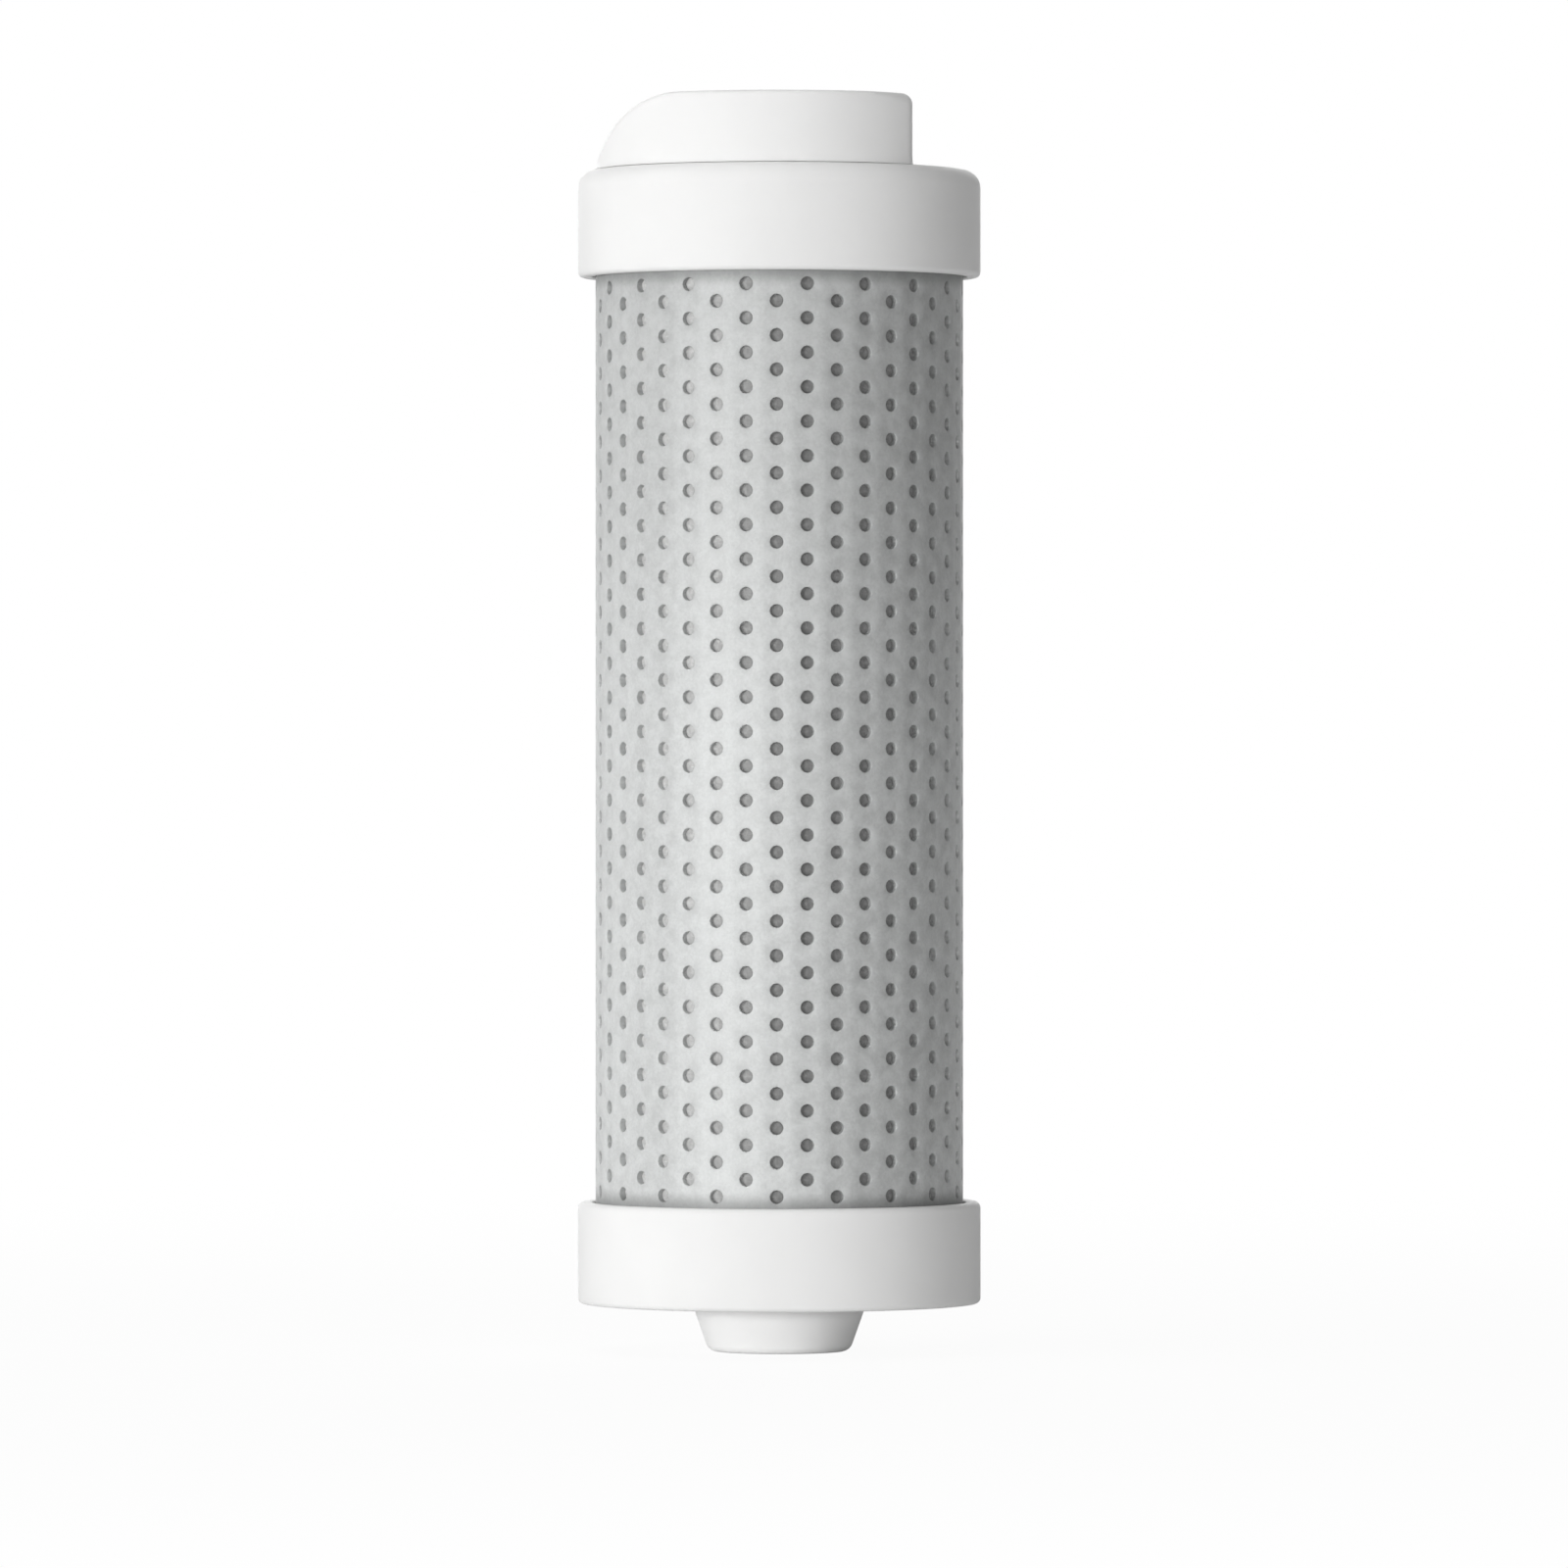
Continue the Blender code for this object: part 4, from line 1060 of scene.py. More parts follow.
@dataclass(frozen=True)
class PerforatedSleeve:
    """Sheet tube with staggered columns of punched holes, each with a rolled rim."""

    columns: int = 38
    rows: int = 27
    pitch: float = 0.00388
    margin: float = 0.00149
    hole: float = 0.00075
    roll: float = 0.00014
    phase: float = math.radians(-90.8)
    levels_above: int = 6
    levels_below: int = 7

    def build(self) -> None:
        """Builds the sleeve."""
        self.sheet()

    def lattice(self) -> tuple[Array, Array, int]:
        """Lines and rows that the sheet is divided by.

        Line i is at the angle phase + (i - 1) pi / columns, so that column c of holes lies on line 2 c + 1.
        Rows are a quarter of the pitch apart where the sheet is punched.

        Returns:
            Angles of the lines, heights of the rows from the top, and the first punched row.
        """
        angle = self.phase + (np.arange(2 * self.columns) - 1) * (math.pi / self.columns)
        top = LAYOUT.top_rim - self.margin + self.pitch / 2
        punched = top - np.arange(4 * self.rows + 3) * (self.pitch / 4)
        above = np.linspace(LAYOUT.sleeve_top, top, self.levels_above)[:-1]
        below = np.linspace(punched[-1], LAYOUT.sleeve_bottom, self.levels_below)[1:]
        return angle, np.concatenate([above, punched, below]), len(above)

    def sheet(self) -> bpy.types.Object:
        """The sheet as a lattice on two cylinders, with a block of two by four fields open for each hole.

        The n lattice points round a block are joined to rings of n points about the hole's middle (t, z):
        P(j) = (R cos s, R sin s, z + q sin u) with u = 2 pi j / n and s = t + q cos u / R. The rim's rings
        have q = hole + roll (1 - sin a) and R = radius - roll (1 - cos a) for a = 0, 45 and 90 degrees,
        and the last ring has q = hole on the inner cylinder.

        Returns:
            The sleeve.
        """
        angle, height, first = self.lattice()
        lines, levels = len(angle), len(height)
        outer = LAYOUT.sleeve_radius
        inner = outer - LAYOUT.sleeve_wall
        column, row = (each.ravel() for each in np.indices((self.columns, self.rows)))
        line = 2 * column
        level = first + 4 * row + np.where(column % 2 == 0, 2, 0)
        across = np.array([2, 2, 2, 1, 0, 0, 0, 0, 0, 1, 2, 2])
        down = np.array([2, 1, 0, 0, 0, 1, 2, 3, 4, 4, 4, 3])
        block = (level[:, None] + down) * lines + (line[:, None] + across) % lines

        lean = np.array([0.0, math.pi / 4, math.pi / 2])
        reach = np.append(self.hole + self.roll * (1.0 - np.sin(lean)), self.hole)[:, None, None]
        radius = np.append(outer - self.roll * (1.0 - np.cos(lean)), inner)[:, None, None]
        turn = np.arange(len(across)) * (TURN / len(across))
        hole_angle = angle[line + 1][:, None] + reach * np.cos(turn) / radius
        hole_height = height[level + 2][:, None] + reach * np.sin(turn)
        holes = np.stack([radius * np.cos(hole_angle), radius * np.sin(hole_angle), hole_height], axis=-1)

        shells = np.array([outer, inner])[:, None, None]
        flat = np.broadcast_arrays(
            shells * np.cos(angle),
            shells * np.sin(angle),
            np.broadcast_to(height[:, None], (levels, lines)),
        )
        points = np.concatenate([np.stack(flat, axis=-1).reshape(-1, 3), holes.reshape(-1, 3)])

        count = lines * levels
        whole = np.ones((levels - 1, lines), dtype=bool)
        field_down, field_across = (each.ravel() for each in np.indices((4, 2)))
        whole[level[:, None] + field_down, (line[:, None] + field_across) % lines] = False
        field_level, field_line = np.nonzero(whole)
        beside = (field_line + 1) % lines
        upper, lower = field_level * lines, (field_level + 1) * lines
        plain = np.stack([lower + field_line, lower + beside, upper + beside, upper + field_line], axis=1)
        edge = np.arange(lines)
        after = (edge + 1) % lines
        ends = [
            np.stack([start + edge, start + after, count + start + after, count + start + edge], axis=1)
            for start in (0, count - lines)
        ]
        rings = 2 * count + np.arange(holes[..., 0].size).reshape(holes.shape[:3])
        chain = [block, *rings, block + count]
        bands = [
            np.stack([near, np.roll(near, -1, 1), np.roll(far, -1, 1), far], axis=-1).reshape(-1, 4)
            for near, far in zip(chain[:-1], chain[1:])
        ]
        surface = Surface(points, np.concatenate([plain, plain + count, *ends, *bands]))
        return surface.show("sleeve_sheet", Body.CARTRIDGE, GREY_SHEET, Slot.SHEET, "perforated_sleeve")


@dataclass(frozen=True)
class BottomCap:
    """Cap bonded to the sleeve's lower end, with a lip round the nozzle's hole."""

    edge: float = 0.0006
    rim: float = 0.0007
    inner_edge: float = 0.0003
    lip_height: float = 0.0005
    lip_width: float = 0.0010
    lip_land: float = 0.0003
    lip_root: float = 0.0005
    lip_edge: float = 0.00012
    hole_edge: float = 0.0001
    longest_run: float = 0.0030
    count: int = 240

    def build(self) -> None:
        """Builds the cap."""
        here = LAYOUT
        hole = here.nozzle_radius + here.clearance
        lip = here.cap_bottom - self.lip_height
        profile = rounded(
            [
                (hole, here.floor, self.inner_edge),
                (here.locating_bore, here.floor, self.inner_edge),
                (here.locating_bore, here.locating_top, self.inner_edge),
                (here.inner_fit, here.locating_top, self.inner_edge),
                (here.inner_fit, here.floor, self.inner_edge),
                (here.skirt_bore, here.floor, self.inner_edge),
                (here.skirt_bore, here.bottom_rim, self.inner_edge),
                (here.cap_radius, here.bottom_rim, self.rim),
                (here.cap_radius, here.cap_bottom, self.edge),
                (hole + self.lip_width, here.cap_bottom, self.lip_root),
                (hole + self.lip_land, lip, self.lip_edge),
                (hole, lip, self.hole_edge),
            ]
        )
        closed = np.concatenate([profile, profile[:1]])
        surface = turned(subdivided(closed, self.longest_run)[:-1], self.count)
        surface.show(
            "bottom_cap_shell", Body.CARTRIDGE, WHITE_PLASTIC, Slot.WHITE_PLASTIC, "bottom_end_cap"
        )


@dataclass(frozen=True)
class OutletNozzle:
    """Tapered outlet with its flange, valve chamber and O-ring."""

    tip: float = 0.00805
    tip_edge: float = 0.0013
    flange: float = 0.0150
    flange_low: float = 0.0080
    flange_high: float = 0.0110
    ring_radius: float = 0.0125
    ring: float = 0.0015
    bore: float = 0.0036
    bore_length: float = 0.0030
    chamber: float = 0.0066
    chamber_top: float = 0.0130
    top: float = 0.0186
    edge: float = 0.0004
    fine_edge: float = 0.0002
    flange_edge: float = 0.0003
    groove_edge: float = 0.0001
    root_edge: float = 0.0010
    count: int = 192
    ring_count: int = 120

    def build(self) -> None:
        """Builds the nozzle and its O-ring."""
        self.spout()
        self.seal()

    def spout(self) -> bpy.types.Object:
        """The nozzle as a turned profile.

        Returns:
            The nozzle.
        """
        here = LAYOUT
        half = self.ring / 2 + here.clearance
        groove_top = self.flange_low + self.ring + here.clearance
        profile = rounded(
            [
                (here.socket_radius, self.top, self.fine_edge),
                (here.nozzle_radius, self.top, self.edge),
                (here.nozzle_radius, self.flange_high, self.edge),
                (self.flange, self.flange_high, self.edge),
                (self.flange, self.flange_low, self.flange_edge),
                (self.ring_radius + half, self.flange_low, self.groove_edge),
                (self.ring_radius + half, groove_top, self.groove_edge),
                (self.ring_radius - half, groove_top, self.groove_edge),
                (self.ring_radius - half, self.flange_low, self.groove_edge),
                (here.nozzle_radius, self.flange_low, self.fine_edge),
                (here.nozzle_radius, here.cap_bottom, self.root_edge),
                (self.tip, 0.0, self.tip_edge),
                (self.bore, 0.0, self.edge),
                (self.bore, self.bore_length, self.edge),
                (self.chamber, self.bore_length, self.edge),
                (self.chamber, self.chamber_top, self.fine_edge),
                (here.socket_radius, self.chamber_top, self.fine_edge),
            ]
        )
        surface = turned(profile, self.count)
        # The nozzle wears the lighter copy of the white plastic: painted light.
        return surface.show(
            "nozzle_spout", Body.CARTRIDGE, LIT_SPOUT_PLASTIC, Slot.WHITE_PLASTIC, "outlet_nozzle"
        )

    def seal(self) -> bpy.types.Object:
        """The O-ring under the flange.

        Returns:
            The ring.
        """
        section = ring_section(self.ring_radius, self.flange_low + self.ring / 2, self.ring)
        return turned(section, self.ring_count).show(
            "nozzle_ring", Body.CARTRIDGE, BLACK_RUBBER, Slot.RUBBER, "nozzle_o_ring"
        )


@dataclass(frozen=True)
class OutletValve:
    """One-way valve in the nozzle: seat, poppet, seal and spring."""

    seat_bore: float = 0.0034
    seat_low: float = 0.0133
    seat_high: float = 0.0153
    head: float = 0.0051
    head_low: float = 0.0099
    head_high: float = 0.0117
    pin: float = 0.0016
    pin_top: float = 0.0147
    boss: float = 0.00395
    boss_low: float = 0.0084
    seal_low: float = 0.0120
    seal_high: float = 0.0130
    spring_radius: float = 0.0046
    wire: float = 0.0007
    spring_low: float = 0.0033
    spring_high: float = 0.0096
    turns: float = 4.5
    travel: float = 0.0018
    seat_edge: float = 0.00025
    edge: float = 0.0002
    head_edge: float = 0.0003
    end_edge: float = 0.0004
    dish_rim: float = 0.0024
    dish_floor: float = 0.0018
    dish_depth: float = 0.0006
    count: int = 96
    wire_steps: int = 181
    wire_sides: int = 12

    def build(self) -> None:
        """Builds the valve's pieces."""
        self.seat()
        self.poppet()
        self.spring()

    def seat(self) -> bpy.types.Object:
        """The seat ring.

        Returns:
            The seat.
        """
        outer = LAYOUT.socket_radius - LAYOUT.clearance
        section = tube_section(self.seat_bore, outer, self.seat_low, self.seat_high, self.seat_edge)
        return turned(section, self.count).show(
            "valve_seat_ring", Body.CARTRIDGE, NATURAL_PLASTIC, Slot.NATURAL_PLASTIC, "valve_seat"
        )

    def poppet(self) -> None:
        """The poppet, with a dished underside, and the seal on its head."""
        dish = self.boss_low + self.dish_depth
        profile = rounded(
            [
                (0.0, self.pin_top, 0.0),
                (self.pin, self.pin_top, self.end_edge),
                (self.pin, self.head_high, 0.0),
                (self.head, self.head_high, self.edge),
                (self.head, self.head_low, self.head_edge),
                (self.boss, self.head_low, self.edge),
                (self.boss, self.boss_low, self.end_edge),
                (self.dish_rim, self.boss_low, self.edge),
                (self.dish_floor, dish, self.edge),
                (0.0, dish, 0.0),
            ]
        )
        turned(profile, self.count, False).show(
            "poppet_body", Body.POPPET, NATURAL_PLASTIC, Slot.NATURAL_PLASTIC, "valve_poppet"
        )
        bore = self.pin + LAYOUT.clearance
        section = tube_section(bore, self.head, self.seal_low, self.seal_high, self.edge)
        turned(section, self.count).show(
            "poppet_seal_ring", Body.POPPET, BLUE_SILICONE, Slot.SILICONE, "poppet_seal"
        )

    def spring(self) -> bpy.types.Object:
        """The spring: a round wire along a helix, with ends that shrink to a point.

        The middle line is C(s) = (a cos w s, a sin w s, z0 + (z1 - z0) s), with w = 2 pi turns and s
        from 0 to 1. The surface is C + b (N cos u + B sin u), where N points to the axis, B is the cross
        product of the tangent and N, and b is half the wire, or 0 at both ends.

        Returns:
            The spring.
        """
        half = self.wire / 2
        share = np.linspace(0.0, 1.0, self.wire_steps)
        share = np.concatenate([share[:1], share, share[-1:]])
        width = np.full_like(share, half)
        width[[0, -1]] = 0.0
        angle = TURN * self.turns * share
        rise = self.spring_high - self.spring_low - self.wire
        sweep = TURN * self.turns * self.spring_radius
        across = np.stack([np.cos(angle), np.sin(angle), np.zeros_like(angle)], axis=1)
        along = np.stack([-np.sin(angle) * sweep, np.cos(angle) * sweep, np.full_like(angle, rise)], axis=1)
        along /= np.linalg.norm(along, axis=1, keepdims=True)
        middle = self.spring_radius * across
        middle[:, 2] = self.spring_low + half + rise * share
        side = np.cross(along, -across)
        turn = np.arange(self.wire_sides) * (TURN / self.wire_sides)
        round_wire = -across[:, None] * np.cos(turn)[:, None] + side[:, None] * np.sin(turn)[:, None]
        points = middle[:, None] + width[:, None, None] * round_wire
        piece = Surface.grid(points).show("spring_coil", Body.CARTRIDGE, STEEL, Slot.STEEL, "valve_spring")
        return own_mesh(piece)


@dataclass(frozen=True)
class FeltWrap:
    """Felt tube that lies against the sleeve and swells into its holes."""

    sleeve: PerforatedSleeve
    thickness: float = 0.0015
    low: float = 0.0140
    high: float = 0.1222
    slack: float = 0.00006
    bulge: float = 0.00040
    spread: float = 0.00072
    fineness: int = 8

    def swell(self, angle: Array, height: Array) -> Array:
        """How far the felt swells, from 0 beside the holes to 1 in the middle of each.

        The share is 1 - d^2 / spread^2, or 0 where that is negative, with d the distance from the nearest
        hole: column c = round(columns (t - phase) / 2 pi), with every second column half a pitch lower.

        Args:
            angle: Angles about the axis.
            height: Heights.

        Returns:
            The shares.
        """
        hole = self.sleeve
        step = TURN / hole.columns
        column = np.round((angle - hole.phase) / step)
        across = ((angle - hole.phase) - column * step) * LAYOUT.sleeve_radius
        row = (LAYOUT.top_rim - hole.margin - height) / hole.pitch - np.where(column % 2 == 0, 0.5, 0.0)
        nearest = np.clip(np.round(row), 0, hole.rows - 1)
        down = (row - nearest) * hole.pitch
        return np.maximum(1.0 - (across**2 + down**2) / self.spread**2, 0.0)

    def build(self) -> bpy.types.Object:
        """The felt as a closed tube whose outside follows r(t, z) = r0 + bulge * swell(t, z).

        The lines and rows of its grid run through the middles of the holes.

        Returns:
            The felt.
        """
        hole = self.sleeve
        lines = self.fineness * hole.columns
        angle = hole.phase + np.arange(lines)[None, :] * (TURN / lines)
        first = LAYOUT.top_rim - hole.margin
        steps = np.arange(4 * self.fineness * hole.rows) - 4 * self.fineness
        inside = first - steps * (hole.pitch / self.fineness)
        inside = inside[(inside > self.low) & (inside < self.high)]
        height = np.concatenate([[self.high], inside, [self.low]])[:, None]
        bore = LAYOUT.sleeve_radius - LAYOUT.sleeve_wall
        outer = bore - self.slack + self.bulge * self.swell(angle, height)
        inner = np.full((2, lines), LAYOUT.inner_fit - self.thickness)
        radius = np.concatenate([outer, inner])
        surface = Surface.polar(radius, angle, np.concatenate([height, height[[-1, 0]]]), True)
        piece = surface.show("felt_wrap", Body.CARTRIDGE, GREY_FELT, Slot.FELT, "felt_prefilter")
        return piece


@dataclass(frozen=True)
class FilterElement:
    """The element inside: pleats, carbon block, pads, core, discs and seals."""

    pleats: int = 36
    pleat_outer: float = 0.0156
    pleat_inner: float = 0.0098
    pleat_depth: float = 0.0021
    pleat_ease: float = 0.0002
    pleat_steps: int = 14
    pleat_rows: int = 24
    crease: float = 0.97
    pad: float = 0.0015
    pad_edge: float = 0.0005
    disc_top: float = 0.1211
    disc_low: float = 0.1191
    lower_top: float = 0.0209
    lower_bottom: float = 0.0189
    nipple: float = 0.0074
    nipple_bottom: float = 0.0156
    ring_radius: float = 0.0071
    ring: float = 0.0012
    gasket_low: float = 0.1214
    gasket_high: float = 0.1229
    bore: float = 0.0034
    boss_length: float = 0.0030
    recess_depth: float = 0.0008
    edge: float = 0.0003
    fine_edge: float = 0.0002
    groove_edge: float = 0.0001
    count: int = 96
    disc_count: int = 120

    def build(self) -> None:
        """Builds the element's pieces and dresses those that the model carries as they are."""
        self.membrane()
        self.media()
        self.discs()
        self.seals()

    def membrane(self) -> bpy.types.Object:
        """The pleated membrane as a folded closed sheet.

        r(t) = m + d asin(k cos(n t)) / asin(k) is the middle of n folds, where k is the crease and d the
        reach of a fold. The two faces lie half the depth inside and outside it.

        Returns:
            The membrane.
        """
        count = self.pleats * self.pleat_steps
        angle = np.arange(count)[None, :] * (TURN / count)
        fold = np.arcsin(self.crease * np.cos(self.pleats * angle)) / math.asin(self.crease)
        half = (self.pleat_outer - self.pleat_inner - self.pleat_depth) / 2
        middle = (self.pleat_outer + self.pleat_inner) / 2 + (half - self.pleat_ease) * fold
        height = np.linspace(LAYOUT.media_bottom, LAYOUT.media_top, self.pleat_rows)[:, None]
        outer = np.broadcast_to(middle + self.pleat_depth / 2, (len(height), count))
        radius = np.concatenate([outer, outer[::-1] - self.pleat_depth])
        surface = Surface.polar(radius, angle, np.concatenate([height, height[::-1]]), True)
        piece = surface.show(
            "membrane_pleats", Body.CARTRIDGE, MEMBRANE_PAPER, Slot.MEMBRANE, "pleated_membrane"
        )
        return piece

    def media(self) -> None:
        """The carbon block, its pads and the core tube that carries them."""
        here = LAYOUT
        bore = here.core_radius + here.clearance
        for name, low, node in (
            ("carbon_pad_low", here.media_bottom, "lower_carbon_pad"),
            ("carbon_pad_high", here.media_top - self.pad, "upper_carbon_pad"),
        ):
            section = tube_section(bore, here.carbon_radius, low, low + self.pad, self.pad_edge)
            pad = turned(section, self.count).show(name, Body.CARTRIDGE, GREY_FELT, Slot.FELT, node)
        inset = self.pad + here.clearance
        low, high = here.media_bottom + inset, here.media_top - inset
        section = tube_section(bore, here.carbon_radius, low, high, self.edge)
        block = turned(section, self.count)
        block.show("carbon_sleeve", Body.CARTRIDGE, CARBON, Slot.CARBON, "carbon_block")
        dress_node("core_tube", NATURAL_PLASTIC)
        dress_node("outlet_screen", STEEL)

    def discs(self) -> None:
        """The upper and lower end discs."""
        here = LAYOUT
        boss = here.core_bore - here.clearance
        boss_low = self.disc_low - self.boss_length
        upper = rounded(
            [
                (0.0, self.disc_top, 0.0),
                (here.element_radius, self.disc_top, self.edge),
                (here.element_radius, self.disc_low, self.edge),
                (boss, self.disc_low, self.fine_edge),
                (boss, boss_low, self.edge),
                (0.0, boss_low, 0.0),
            ]
        )
        turned(upper, self.disc_count, False).show(
            "element_disc_high", Body.CARTRIDGE, NATURAL_PLASTIC, Slot.NATURAL_PLASTIC, "element_top_disc"
        )
        recess = here.core_radius + here.clearance
        recess_floor = self.lower_top - self.recess_depth
        groove = self.ring_radius - self.ring / 2 - here.clearance
        half = self.ring / 2 + here.clearance
        middle = (self.nipple_bottom + self.lower_bottom) / 2
        lower = rounded(
            [
                (recess, self.lower_top, self.groove_edge),
                (here.element_radius, self.lower_top, self.edge),
                (here.element_radius, self.lower_bottom, self.edge),
                (self.nipple, self.lower_bottom, self.fine_edge),
                (self.nipple, middle + half, self.groove_edge),
                (groove, middle + half, self.groove_edge),
                (groove, middle - half, self.groove_edge),
                (self.nipple, middle - half, self.groove_edge),
                (self.nipple, self.nipple_bottom, self.fine_edge),
                (self.bore, self.nipple_bottom, self.fine_edge),
                (self.bore, recess_floor, self.groove_edge),
                (recess, recess_floor, self.groove_edge),
            ]
        )
        turned(lower, self.disc_count).show(
            "element_disc_low", Body.CARTRIDGE, NATURAL_PLASTIC, Slot.NATURAL_PLASTIC, "element_bottom_disc"
        )

    def seals(self) -> None:
        """The O-ring on the nipple and the gasket on the upper disc."""
        middle = (self.nipple_bottom + self.lower_bottom) / 2
        turned(ring_section(self.ring_radius, middle, self.ring), self.count).show(
            "element_ring", Body.CARTRIDGE, BLACK_RUBBER, Slot.RUBBER, "element_o_ring"
        )
        section = tube_section(
            LAYOUT.plug_bore, LAYOUT.element_radius, self.gasket_low, self.gasket_high, self.edge
        )
        turned(section, self.disc_count).show(
            "element_gasket_ring", Body.CARTRIDGE, BLACK_RUBBER, Slot.RUBBER, "element_gasket"
        )


def dress_node(name: str, finish: Finish) -> None:
    """Gives a CAD node that is shown as it is its finish.

    Args:
        name: Name of the node.
        finish: The finish.
    """
    node = bpy.data.objects[name]
    node.data.materials.clear()
    node.data.materials.append(finish.material())
    LOG.info("%s: CAD node in %s", name, finish.name)


@dataclass(frozen=True)
class Lamp:
    """A soft lamp, placed round the object's middle."""

    name: str
    azimuth: float
    elevation: float
    distance: float
    width: float
    height: float
    power: float


@dataclass(frozen=True)
class Studio:
    """Camera, lamps, surroundings and floor."""

    lens: float = 263.1
    sensor: float = 36.0
    view_end: float = 50.0
    camera_distance: float = 1.31
    camera_height: float = 0.0685
    shift_x: float = 0.0030
    shift_y: float = -0.0206
    bright: float = 0.325
    dim: float = 0.092
    bright_azimuth: float = -35.0
    dim_cosine: float = -0.7
    bright_cosine: float = 0.9
    backdrop: float = 0.5
    backdrop_full: float = 0.95
    floor_half: float = 6.0
    floor_glow: float = 0.94
    floor_near: float = 0.05
    floor_fade: float = 0.50
    floor_mottle: float = 0.05
    floor_dark: Colour = (0.94, 0.94, 0.94)
    floor_light: Colour = (0.96, 0.96, 0.96)
    floor_roughness: float = 0.9
    target: float = 0.0715
    lamps: tuple[Lamp, ...] = (
        Lamp("key_lamp", -38.0, 1.0, 1.6, 0.60, 0.20, 10.85),
        Lamp("left_lamp", -110.0, 1.5, 1.5, 0.80, 0.22, 4.0),
        Lamp("front_lamp", 5.0, 1.0, 1.6, 0.60, 0.20, 4.0),
        Lamp("right_lamp", 35.0, 1.0, 1.6, 0.60, 0.20, 0.55),
        Lamp("top_lamp", -60.0, 74.0, 1.6, 0.80, 0.80, 7.0),
        Lamp("back_lamp", 180.0, 14.0, 1.5, 1.00, 1.00, 8.0),
    )

    def build(self) -> None:
        """Builds the studio."""
        self.camera()
        self.surroundings()
        self.floor()
        for lamp in self.lamps:
            self.light(lamp)
        bpy.context.scene.view_settings.view_transform = "Standard"

    def camera(self) -> None:
        """A level camera on -Y, with a small shift for the photograph's framing."""
        data = bpy.data.cameras.new("camera")
        data.lens = self.lens
        data.sensor_width = self.sensor
        data.shift_x = self.shift_x
        data.shift_y = self.shift_y
        data.clip_end = self.view_end
        camera = bpy.data.objects.new("camera", data)
        camera.location = (0.0, -self.camera_distance, self.camera_height)
        camera.rotation_euler = (math.pi / 2, 0.0, 0.0)
        bpy.context.scene.collection.objects.link(camera)
        bpy.context.scene.camera = camera

    def surroundings(self) -> None:
        """A world that is white behind the object, with light that fades from its bright to its dim side.

        The light is dim + (bright - dim) w, where w is a smooth step of the cosine between a direction and
        the middle of the bright side. The camera sees white everywhere. Glossy and transmitted rays see it
        where it stands behind the object, so that edges show it too.
        """
        world = bpy.data.worlds.new("surroundings")
        graph = Graph(world, "Background")
        turn = math.radians(self.bright_azimuth)
        towards = (math.sin(turn), -math.cos(turn), 0.0)
        direction = graph.signal("ShaderNodeTexCoord", {}, {}, "Generated")
        dot = {"operation": "DOT_PRODUCT"}
        facing = graph.signal("ShaderNodeVectorMath", dot, {0: direction, 1: towards}, 1)
        behind = graph.signal("ShaderNodeVectorMath", dot, {0: direction, 1: (0.0, 1.0, 0.0)}, 1)
        light = self.dim + (self.bright - self.dim) * facing.ramp(self.dim_cosine, self.bright_cosine)
        shown = behind.ramp(self.backdrop, self.backdrop_full)
        shown = (graph.ray("Glossy") + graph.ray("Transmission")) * shown
        seen = (graph.ray("Camera") + shown).ramp(0.0, 1.0)
        strength = seen + (1.0 - seen) * light
        graph.feed(graph.shader, {"Color": (1.0, 1.0, 1.0, 1.0), "Strength": strength})
        bpy.context.scene.world = world

    def floor(self) -> None:
        """A pale floor that stays near white to the camera and keeps the object's soft shadow."""
        side = self.floor_half
        mesh = bpy.data.meshes.new("floor")
        corners = [(-side, -side, 0.0), (side, -side, 0.0), (side, side, 0.0), (-side, side, 0.0)]
        mesh.from_pydata(corners, [], [(0, 1, 2, 3)])
        cover = bpy.data.materials.new("pale_floor")
        graph = Graph(cover, "Principled BSDF")
        mottle = graph.noise(graph.place(), self.floor_mottle, 2.0)
        colour = mottle.blend(self.floor_dark, self.floor_light)
        graph.feed(graph.shader, {"Base Color": colour, "Roughness": self.floor_roughness})
        glow = graph.signal("ShaderNodeEmission", {}, {"Color": (1.0, 1.0, 1.0, 1.0), "Strength": 1.0})
        seen = (graph.ray("Camera") + graph.ray("Transmission")).ramp(0.0, 1.0)
        away = graph.distance().ramp(self.floor_near, self.floor_fade)
        share = self.floor_glow + (1.0 - self.floor_glow) * away
        matte = Signal(graph, graph.shader.outputs[0])
        mixed = graph.signal("ShaderNodeMixShader", {}, {0: seen * share, 1: matte, 2: glow})
        graph.feed(graph.tree.nodes["Material Output"], {"Surface": mixed})
        mesh.materials.append(cover)
        floor = bpy.data.objects.new("floor", mesh)
        bpy.context.scene.collection.objects.link(floor)

    def light(self, lamp: Lamp) -> None:
        """Adds a lamp that faces the object's middle.

        Args:
            lamp: The lamp.
        """
        data = bpy.data.lights.new(lamp.name, "AREA")
        data.shape = "RECTANGLE"
        data.size = lamp.width
        data.size_y = lamp.height
        data.energy = lamp.power
        turn, rise = math.radians(lamp.azimuth), math.radians(lamp.elevation)
        back = Vector(
            (math.sin(turn) * math.cos(rise), -math.cos(turn) * math.cos(rise), math.sin(rise))
        )
        made = bpy.data.objects.new(lamp.name, data)
        made.location = back * lamp.distance + Vector((0.0, 0.0, self.target))
        made.rotation_euler = back.to_track_quat("Z", "Y").to_euler()
        made.visible_camera = False
        bpy.context.scene.collection.objects.link(made)


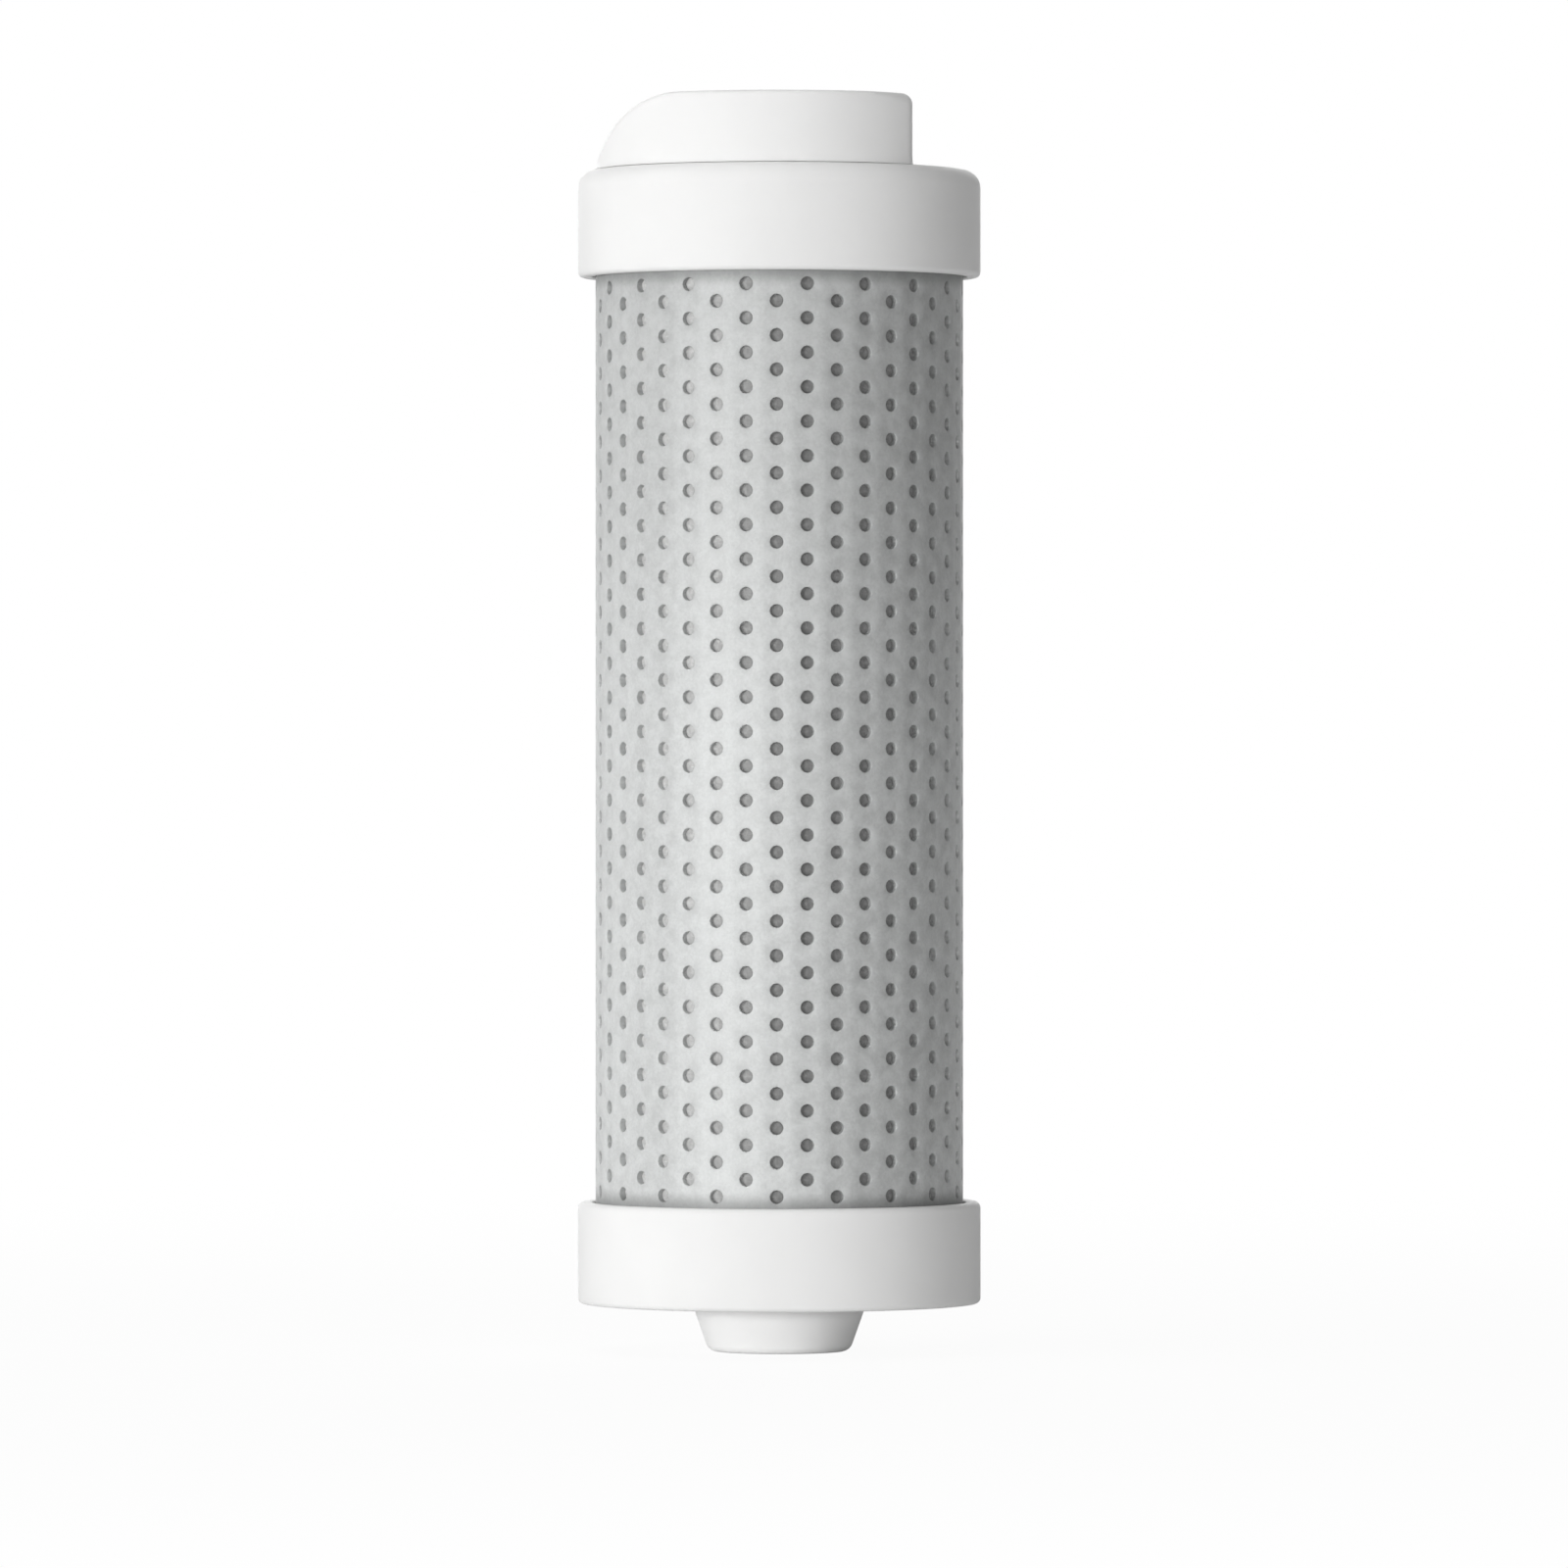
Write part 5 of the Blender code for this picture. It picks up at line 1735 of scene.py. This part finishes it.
def main() -> None:
    """Builds the pieces and the studio."""
    logging.basicConfig(level=logging.INFO, format="%(name)s: %(message)s", stream=sys.stdout)
    Studio().build()
    sleeve = PerforatedSleeve()
    parts = (
        sleeve,
        TopCap(),
        KeyedHub(),
        BottomCap(),
        OutletNozzle(),
        OutletValve(),
        FeltWrap(sleeve),
        FilterElement(),
    )
    for part in parts:
        part.build()
    for screw in HUB_SCREWS:
        dress_node(screw, STEEL)


if __name__ == "__main__":
    main()
